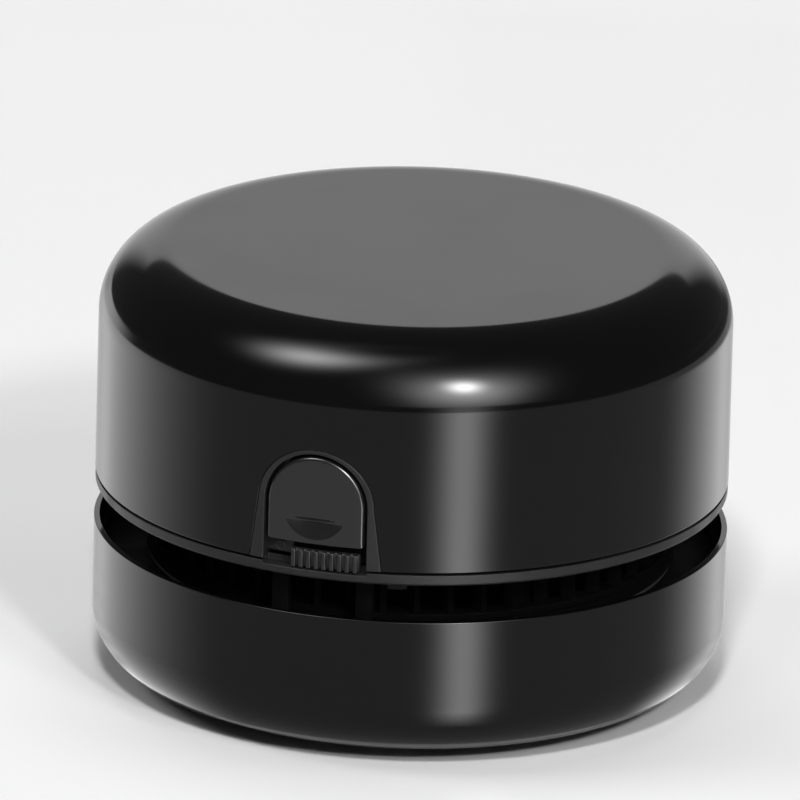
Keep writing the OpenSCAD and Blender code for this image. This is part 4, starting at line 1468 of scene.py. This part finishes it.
@dataclass
class MotorUnit:
    """Chassis, fan housing, motor, filter, cells and leads."""

    casing: Casing
    slats: int = 48
    slat_lean: float = 35.0
    slat_size: Flat = (2.0, 1.1)
    slat_ease: float = 0.2
    rail_t: float = 1.1
    fan_floor: float = 20.4
    ring_z: float = 28.3
    grille_in: float = 34.6
    grille_out: float = 37.2
    lug_ring: float = 32.7
    lug_in: float = 0.95
    lug_out: float = 2.3
    screw_seat: float = 19.0
    ring_from: float = 44.0          # points of the chassis past this radius
    ring_below: float = 29.95        # and under this height belong to its ring
    ring_wider: float = 0.43
    filter_r: float = 28.6
    filter_z: float = 11.2
    cloth_top: float = 18.85
    cloth_t: float = 0.55
    pleats: int = 44
    cell_x: float = 22.2
    cell_z: float = 38.5
    cell_r: float = 7.1
    cell_l: float = 50.3
    nub_r: float = 2.75
    nub_l: float = 1.2
    lead_r: float = 0.6

    def pleated_cloth(self) -> Object:
        """Cloth cup inside the cage: pleated wall, soft corner, flat floor."""
        outer, low, high = self.filter_r - 1.55, self.filter_z + 1.45, self.cloth_top
        thick, middle, inside = self.cloth_t, 0.001, 12.0
        folds = [(a, 0.5 - 0.5 * math.cos(self.pleats * a)) for a in full_turn(self.pleats * 8)]
        wall = [low + 1.4 + (high - low - 1.8) * k / 6 for k in range(7)]
        section = [                                  # radius, height and depth of the folds
            (middle, low, 0.0), (inside, low, 0.0), (outer - 2.4, low, 0.0),
            (outer - 0.8, low + 0.2, 0.3), (outer - 0.2, low + 0.8, 0.8),
            *((outer, z, 1.0) for z in wall),
            (outer - 0.1, high, 0.6), (outer - 0.6, high, 0.5),
            *((outer - thick, z, 1.0) for z in reversed(wall)),
            (outer - 0.2 - thick, low + 0.9, 0.8), (outer - 1.4, low + thick + 0.1, 0.3),
            (outer - 3.0, low + thick, 0.0), (inside, low + thick, 0.0),
            (middle, low + thick, 0.0),
        ]
        shape = Shape()
        shape.grid([[on_circle(radius - fold * part, a, z) for a, part in folds]
                    for radius, z, fold in section], wrap_columns=True)
        return shape.build("filter_cloth_pleated", 70.0)

    def cell(self, name: str, x: float, toward: float) -> list[Object]:
        """One cell: shrink sleeve and metal ends.

        Args:
            name: the start of both pieces' names.
            x: place of its axis.
            toward: 1 if the nub points to the back, -1 if to the front.

        Returns:
            The sleeve and the metal can.
        """
        r, foot, tip = self.cell_r, -self.cell_l / 2, self.cell_l / 2
        top = tip - self.nub_l
        profiles: dict[str, list[Corner]] = {
            "sleeve": [
                (r, foot + 0.12, 0.55), (r, top - 0.1, 0.55), (r - 1.3, top - 0.1, 0.06),
                (r - 1.3, top - 0.3, 0.0), (r - 0.25, top - 0.4, 0.3), (r - 0.25, foot + 0.4, 0.3),
                (r - 1.3, foot + 0.3, 0.0), (r - 1.3, foot + 0.12, 0.06),
            ],
            "can": [
                (0.0, foot + 0.02, 0.0), (r - 1.6, foot + 0.02, 0.2), (r - 0.3, foot + 0.42, 0.3),
                (r - 0.3, top - 0.42, 0.3), (r - 2.1, top - 0.25, 0.2), (r - 2.6, top - 0.55, 0.2),
                (self.nub_r, top - 0.55, 0.25), (self.nub_r, tip - 0.02, 0.35),
                (0.0, tip - 0.02, 0.0),
            ],
        }
        made = [turned(f"{name}_{part}", rounded(profile, 6), 96, 45.0)
                for part, profile in profiles.items()]
        for piece in made:
            piece.data.transform(Matrix.Translation((x * MM, 0.0, self.cell_z * MM))
                                 @ Matrix.Rotation(-toward * math.pi / 2, 4, "X"))
        return made

    def lead(self, name: str, routes: Sequence[Sequence[Point]]) -> Object:
        """Insulated leads, each a round tube along its route."""
        parts = []
        for number, route in enumerate(routes):
            curve = bpy.data.curves.new(f"{name}_{number}", "CURVE")
            curve.dimensions = "3D"
            curve.bevel_depth = self.lead_r * MM
            curve.bevel_resolution = 3
            curve.resolution_u = 10
            curve.use_fill_caps = True
            spline = curve.splines.new("BEZIER")
            spline.bezier_points.add(len(route) - 1)
            spots = [Vector(place) * MM for place in route]
            for i, (knot, here) in enumerate(zip(spline.bezier_points, spots)):
                pull = (spots[min(i + 1, len(spots) - 1)] - spots[max(i - 1, 0)]) / 6
                knot.handle_left_type = knot.handle_right_type = "FREE"
                knot.co, knot.handle_left, knot.handle_right = here, here - pull, here + pull
            tube = baked(new_object(curve.name, curve))
            smooth(tube.data, 60.0)
            parts.append(tube)
        return joined(name, parts)

    def routes(self) -> dict[str, list[list[Point]]]:
        """The leads' routes, point for point as the frame has them."""
        cell, joint, tab, tab_y, board, board_y = self.cell_x, 26.8, 8.0, 0.9, 5.45, -34.6
        red = [(cell, -joint, 40.2), (cell, -joint, 42.5), (21.0, -25.5, 46.5),
               (17.0, -19.0, 49.5), (12.5, -10.0, 55.0), (9.0, -4.0, 60.0), (tab, -1.5, 59.8),
               (tab, -tab_y, 57.8)]
        to_motor = [(board, board_y, 33.4), (8.6, board_y, 33.4), (10.6, -31.5, 33.2),
                    (10.9, -26.0, 32.2), (9.5, -20.5, 34.0), (7.5, -16.5, 42.0),
                    (2.0, -14.5, 50.0), (-5.0, -12.0, 57.0), (-tab, -5.0, 60.2),
                    (-tab, -1.6, 59.8), (-tab, -tab_y, 57.8)]
        to_switch = [(-board, board_y, 33.4), (-9.0, -34.8, 33.6), (-14.0, -34.0, 35.0),
                     (-19.5, -31.5, 38.0), (-21.8, -30.0, 42.5), (-cell, -27.6, 44.2),
                     (-cell, -joint, 42.6), (-cell, -joint, 40.2)]
        half = [(-cell, joint, 40.2), (-cell, joint, 42.6), (-cell, 28.0, 44.2),
                (-21.0, 31.0, 41.5), (-16.0, 34.0, 35.5), (-8.0, 35.5, 32.6)]
        link = half + [(0.0, 35.8, 32.0)] + [(-x, y, z) for x, y, z in reversed(half)]
        return {"red": [red], "black": [to_motor, to_switch, link]}

    def slat(self) -> Object:
        """One upright slat of the grille, with round edges, leaning across the air's way."""
        lean, ease = math.radians(self.slat_lean), self.slat_ease
        half_l, half_t = (size / 2 - ease for size in self.slat_size)
        middle = (self.grille_in + self.grille_out) / 2
        outline = []
        for turn, (sx, sy) in enumerate(((1, 1), (-1, 1), (-1, -1), (1, -1))):
            for a in quarter(4):
                x = sx * half_l + ease * math.cos(a + turn * math.pi / 2)
                y = sy * half_t + ease * math.sin(a + turn * math.pi / 2)
                outline.append((middle + x * math.cos(lean) - y * math.sin(lean),
                                x * math.sin(lean) + y * math.cos(lean)))
        shape = Shape()
        shape.prism([[(x, y, z) for x, y in outline]
                     for z in (self.fan_floor + 0.5, self.ring_z - 0.5)])
        return shape.build("slat_source", 50.0)

    def grille(self, workshop: Workshop) -> Object:
        """Exhaust grille: leaning slats between two rails, and four lugs."""
        black = workshop.material("inner_black")
        pitch = 360.0 / self.slats
        slats = row_of_copies("grille_slats", self.slat(), self.slats, pitch / 2, pitch, black)
        rails = []
        for low in (self.fan_floor, self.ring_z - self.rail_t):
            high = low + self.rail_t
            profile = [(self.grille_in, low, 0.15), (self.grille_out, low, 0.2),
                       (self.grille_out, high, 0.2), (self.grille_in, high, 0.15)]
            rails.append(turned("grille_rail", rounded(profile, 3), 192, 50.0))
        low, high = self.fan_floor + 0.1, self.ring_z - 0.1
        profile = [(self.lug_in, low, 0.0), (self.lug_out, low, 0.1),
                   (self.lug_out, high, 0.1), (self.lug_in, high, 0.0)]
        lug = turned("lug_source", rounded(profile, 2), 32, 50.0)
        lug.data.transform(Matrix.Translation((self.lug_ring * MM, 0.0, 0.0)))
        lugs = row_of_copies("grille_lugs", lug, 4, 45.0, 90.0, black)
        return joined("exhaust_grille_ring", [slats, *rails, lugs])

    def build(self, workshop: Workshop) -> None:
        """Builds and dresses everything that rides on the motor unit and on the rotor."""
        chassis = refined("chassis")
        widen(chassis, self.ring_from, self.ring_below, self.ring_wider)
        workshop.dress(eased(chassis, 0.26, 30.0), "motor_unit", "ring_grey", "chassis")
        workshop.dress(self.grille(workshop), "motor_unit", "inner_black", "exhaust_grille")
        for node, edge in (("fan_plate", 0.1), ("seal_ring", 0.1), ("filter_frame", 0.1),
                           ("cell_cradles", 0.15), ("cell_contacts", 0.04), ("motor_can", 0.0),
                           ("motor_endbell", 0.0), ("impeller", 0.0), ("motor_shaft", 0.08)):
            workshop.refine(node, edge)
        workshop.dress(self.pleated_cloth(), "motor_unit", "filter_cloth", "filter_cloth")
        for name, side, finish in (("cell_left", -1.0, "cell_jacket"),
                                   ("cell_right", 1.0, "cell_jacket_turned")):
            sleeve, can = self.cell(name, side * self.cell_x, -side)
            workshop.dress(sleeve, "motor_unit", "cell_jacket", name, finish=finish)
            workshop.dress(can, "motor_unit", "cell_jacket", finish="contact_nickel")
        routes = self.routes()
        workshop.dress(self.lead("lead_red_wire", routes["red"]),
                       "motor_unit", "lead_red", "lead_red")
        workshop.dress(self.lead("lead_black_wires", routes["black"]),
                       "motor_unit", "lead_black", "leads_black")
        workshop.repeat("fan_plate_screw_set", Screw(1.8, 1.2, 0.9, 10.9).build(),
                        round_places(self.lug_ring, self.screw_seat, 45, 15.0),
                        "motor_unit", "screw_steel", "fan_plate_screws")
        workshop.refine("motor_screws")


# ----------------------------------------------------------------------- studio

@dataclass(frozen=True)
class Lamp:
    """A soft lamp that lights the table and the matt parts."""

    name: str
    azimuth: float
    elevation: float
    distance: float
    side: float
    power: float


@dataclass(frozen=True)
class Glow:
    """A soft patch of light that polished parts mirror, with its half widths in degrees."""

    azimuth: float
    elevation: float
    wide: float
    tall: float
    strength: float

    def at(self, azimuth: float, elevation: float) -> float:
        """Strength seen in a direction."""
        across = (azimuth - self.azimuth + 180.0) % 360.0 - 180.0
        across *= math.cos(math.radians(elevation))
        up = elevation - self.elevation
        return self.strength * math.exp(-(across / self.wide) ** 2 - (up / self.tall) ** 2)


@dataclass
class Studio:
    """Pale table, low white backdrop, soft lights and the camera.

    Azimuths are taken from the camera's side of the object, growing to the right.
    """

    camera_turn: float = 17.55
    camera_elevation: float = 19.4
    camera_distance: float = 4.0
    sensor: float = 36.0
    focal_px: float = 28091.0
    image_px: float = 800.0
    roll: float = 0.02707
    aim_up: float = 0.00996
    aim_right: float = -0.00049
    ground_drop: float = 1.45
    table_reach: float = 3000.0
    table_grey: float = 0.86
    backdrop_edge: float = 22.0
    backdrop_half: float = 19.0
    backdrop_glow: float = 0.92
    room_glow: float = 0.07
    air: Point = (0.012, 0.012, 0.012)
    mirror_radius: float = 1200.0
    mirror_height: float = 52.0
    wall_radius: float = 45.0
    stripe_azimuth: float = 18.4
    stripe_drift: float = 1.9
    stripe_width: float = 8.4
    stripe_near: float = 5.0
    stripe_far: float = 2.0
    sheen_dim: float = 0.38
    sheen_left: float = 1.25
    sheen_right: float = 1.3
    sheen_height: float = 0.4
    sheen_from: float = 40.7
    sheen_to: float = 300.0
    right_to: float = 220.0
    lamps: tuple[Lamp, ...] = (
        Lamp("key_lamp", 20.5, 32.0, 6.0, 0.5, 110.0),
        Lamp("right_lamp", 34.0, 36.0, 6.0, 1.2, 61.0),
        Lamp("side_lamp", 80.0, 40.0, 6.0, 3.0, 34.0),
        Lamp("left_lamp", -88.0, 42.0, 6.0, 2.0, 75.0),
        Lamp("front_lamp", -3.0, 46.0, 6.0, 0.6, 190.0),
        Lamp("top_lamp", 180.0, 78.0, 6.0, 2.8, 85.0),
    )
    glows: tuple[Glow, ...] = (
        Glow(18.8, 28.6, 4.8, 8.0, 36.0),
        Glow(19.0, 21.0, 16.0, 21.0, 9.0),
        Glow(-57.0, 56.5, 13.0, 13.0, 10.5),
    )

    def toward(self, azimuth: float, elevation: float) -> Vector:
        """Unit vector to a place seen from the object."""
        a, e = math.radians(azimuth + self.camera_turn), math.radians(elevation)
        return Vector((math.sin(a) * math.cos(e), -math.cos(a) * math.cos(e), math.sin(e)))

    def camera(self) -> None:
        """Makes the camera at the photograph's viewing angle."""
        back = self.toward(0.0, self.camera_elevation)
        place = back * self.camera_distance - Vector((0.0, 0.0, self.ground_drop * MM))
        forward = -back
        right = forward.cross(Vector((0.0, 0.0, 1.0))).normalized()
        up = right.cross(forward)
        look = (forward + self.aim_right * right + self.aim_up * up).normalized()
        level = look.cross(up).normalized()
        upright = level.cross(look)
        c, s = math.cos(self.roll), math.sin(self.roll)
        x_axis = c * level + s * upright
        y_axis = c * upright - s * level
        turn = Matrix((x_axis, y_axis, -look)).transposed().to_4x4()
        data = bpy.data.cameras.new("camera")
        data.sensor_width = self.sensor
        data.lens = self.focal_px / self.image_px * self.sensor
        data.clip_start, data.clip_end = 0.1, 50.0
        camera = bpy.data.objects.new("camera", data)
        camera.matrix_world = Matrix.Translation(place) @ turn
        bpy.context.scene.collection.objects.link(camera)
        bpy.context.scene.camera = camera

    def paper(self, name: str, grey: float) -> Material:
        """Plain pale paper with a faint tooth."""
        sheet = Sheet.named(name)
        return sheet.surface(
            sheet.tint(sheet.noise(14.0, 4.0), (grey * 0.985,) * 3, (grey,) * 3),
            [(sheet.noise(2500.0, 2.0), 0.01)], Roughness=0.8, Specular_IOR_Level=0.2)

    def table(self) -> None:
        """Lays the table top under the pads."""
        shape, r = Shape(), self.table_reach
        shape.cap([(-r, -r, 0.0), (r, -r, 0.0), (r, r, 0.0), (-r, r, 0.0)])
        top = shape.build("table_top")
        top.data.materials.append(self.paper("table_paper", self.table_grey))
        top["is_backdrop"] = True

    def mirror_piece(self, name: str, rows: Sequence[Sequence[Point]],
                     glow: Sequence[float]) -> None:
        """Adds a glowing sheet that shows only in polished surfaces.

        Args:
            name: the object's name.
            rows: its points.
            glow: strength at each point, row by row.
        """
        shape = Shape()
        shape.grid(rows, wrap_columns=True)
        mesh = shape.mesh(name)
        mesh.attributes.new("glow", "FLOAT", "POINT").data.foreach_set("value", glow)
        sheet = Sheet.named(name)
        level = sheet.node("ShaderNodeAttribute", attribute_name="glow")
        light = sheet.node("ShaderNodeEmission")
        end = sheet.node("ShaderNodeOutputMaterial")
        sheet.link(level.outputs["Fac"], light.inputs["Strength"])
        sheet.link(light.outputs["Emission"], end.inputs["Surface"])
        mesh.materials.append(sheet.material)
        piece = new_object(name, mesh)
        piece.visible_camera = piece.visible_diffuse = piece.visible_shadow = False
        piece.visible_transmission = piece.visible_volume_scatter = False
        piece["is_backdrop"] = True

    def backdrop_share(self, azimuth: float) -> float:
        """Weight of the backdrop at an azimuth, which fades at its two sides."""
        return 1.0 - step(abs(azimuth - 180), self.backdrop_half - 5.0, self.backdrop_half + 9.0)

    def room(self) -> None:
        """What polished parts mirror above the table: soft boxes and a low white backdrop."""
        azimuths = range(0, 360, 2)
        edge = self.backdrop_edge
        elevations = sorted([*(-2.4 + 1.4 * k for k in range(67)), edge - 0.15, edge + 0.15])
        rows, glow = [], []
        for elevation in elevations:
            tilt = math.radians(elevation)
            radius = self.mirror_radius * math.cos(tilt)
            height = self.mirror_height + self.mirror_radius * math.sin(tilt)
            rows.append([on_circle(radius, math.radians(a + self.camera_turn), height)
                         for a in azimuths])
            for a in azimuths:
                level = self.room_glow + sum(patch.at(a, elevation) for patch in self.glows)
                share = self.backdrop_share(a) if elevation < edge else 0.0
                glow.append(level + (self.backdrop_glow - level) * share)
        self.mirror_piece("studio_room", rows, glow)

    def table_glow(self, azimuth: float, radius: float) -> float:
        """Strength that the table has in upright polished walls.

        Args:
            azimuth: direction of the mirrored ray.
            radius: distance from the casing's axis.

        Returns:
            The strength.
        """
        sheen = self.sheen_dim * (0.85 + 0.15 * step(radius, 41.0, 61.0))
        edge = 1.0 - 0.7 * step(abs(azimuth), 146.0, 168.0)
        left = self.sheen_left * step(-azimuth, 70.0, 130.0) * edge
        right = self.sheen_right * step(azimuth, 100.0, 140.0) * edge
        middle = self.stripe_azimuth + self.stripe_drift * (1.0 - step(radius, 100.0, 140.0))
        stripe = math.exp(-((azimuth - middle) / self.stripe_width) ** 2) * step(radius, 50.0, 57.0)
        if radius > self.sheen_to:
            return self.room_glow + left * step(-azimuth, 120.0, 140.0) + self.stripe_far * stripe
        near = sheen + left + self.stripe_near * stripe
        return near + right if radius <= self.right_to else near

    def mirrored_azimuth(self, radius: float, azimuth: float) -> float:
        """Direction of the ray that the casing's wall throws on a point of the table.

        Args:
            radius: the point's distance from the casing's axis.
            azimuth: the point's azimuth, from the camera's side.

        Returns:
            The ray's azimuth, twice that of the wall's normal.
        """
        a = (azimuth + 180.0) % 360.0 - 180.0
        low, high = abs(a) / 2, min(abs(a), 90.0)
        for _ in range(30):
            normal = (low + high) / 2
            over = (radius * math.sin(math.radians(2 * normal - abs(a)))
                    - self.wall_radius * math.sin(math.radians(normal)))
            low, high = (low, normal) if over > 0 else (normal, high)
        return math.copysign(2 * low, a)

    def table_sheen(self) -> None:
        """The table as polished walls mirror it, with the key light's stripe, dark far off."""
        azimuths = [1.5 * k for k in range(240)]
        near = [self.sheen_from + (self.sheen_to - self.sheen_from) * (k / 18) ** 2
                for k in range(19)]
        rows, glow = [], []
        for r in (*near, self.sheen_to + 10.0, self.mirror_radius):
            rows.append([on_circle(r, math.radians(a + self.camera_turn), self.sheen_height)
                         for a in azimuths])
            for a in azimuths:
                level = self.table_glow(self.mirrored_azimuth(r, a), r)
                share = self.backdrop_share(a) if r > self.sheen_to else 0.0
                glow.append(level + (self.backdrop_glow - level) * share)
        self.mirror_piece("table_sheen", rows, glow)

    def light(self, lamp: Lamp) -> None:
        """Places one lamp, which polished parts don't mirror."""
        data = bpy.data.lights.new(lamp.name, "AREA")
        data.shape = "SQUARE"
        data.size = lamp.side
        data.energy = lamp.power
        placed = bpy.data.objects.new(lamp.name, data)
        away = self.toward(lamp.azimuth, lamp.elevation)
        placed.location = away * lamp.distance + Vector((0.0, 0.0, 0.03))
        placed.rotation_mode = "QUATERNION"
        placed.rotation_quaternion = away.to_track_quat("Z", "Y")
        placed.visible_camera = placed.visible_glossy = False
        bpy.context.scene.collection.objects.link(placed)

    def build(self) -> None:
        """Sets up the whole studio."""
        scene = bpy.context.scene
        scene.view_settings.view_transform = "Standard"
        world = bpy.data.worlds.new("studio_air")
        world.use_nodes = True
        air = world.node_tree.nodes["Background"]
        air.inputs["Color"].default_value = (*self.air, 1.0)
        scene.world = world
        self.table()
        self.room()
        self.table_sheen()
        for lamp in self.lamps:
            self.light(lamp)
        self.camera()


# ------------------------------------------------------------------------- main

def corners(box: Sequence[Vector]) -> list[list[float]]:
    """A box as plain lists of numbers."""
    return [[float(c) for c in corner] for corner in box]


def main() -> None:
    """Builds every sub-assembly in order and measures the model's size before and after."""
    logging.basicConfig(level=logging.INFO, format="%(name)s %(message)s")
    cad_box = corners(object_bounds())
    Studio().build()
    casing = Casing()
    workshop = Workshop()
    workshop.dress(TopCover(casing).build(), "cover", "gloss_black", "top_cover")
    for station in (DustCup, LatchStation, MotorUnit):
        station(casing).build(workshop)
    log.info("%d pieces dressed", workshop.pieces)
    {"cad": cad_box, "visual": corners(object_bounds())}


if __name__ == "__main__":
    main()
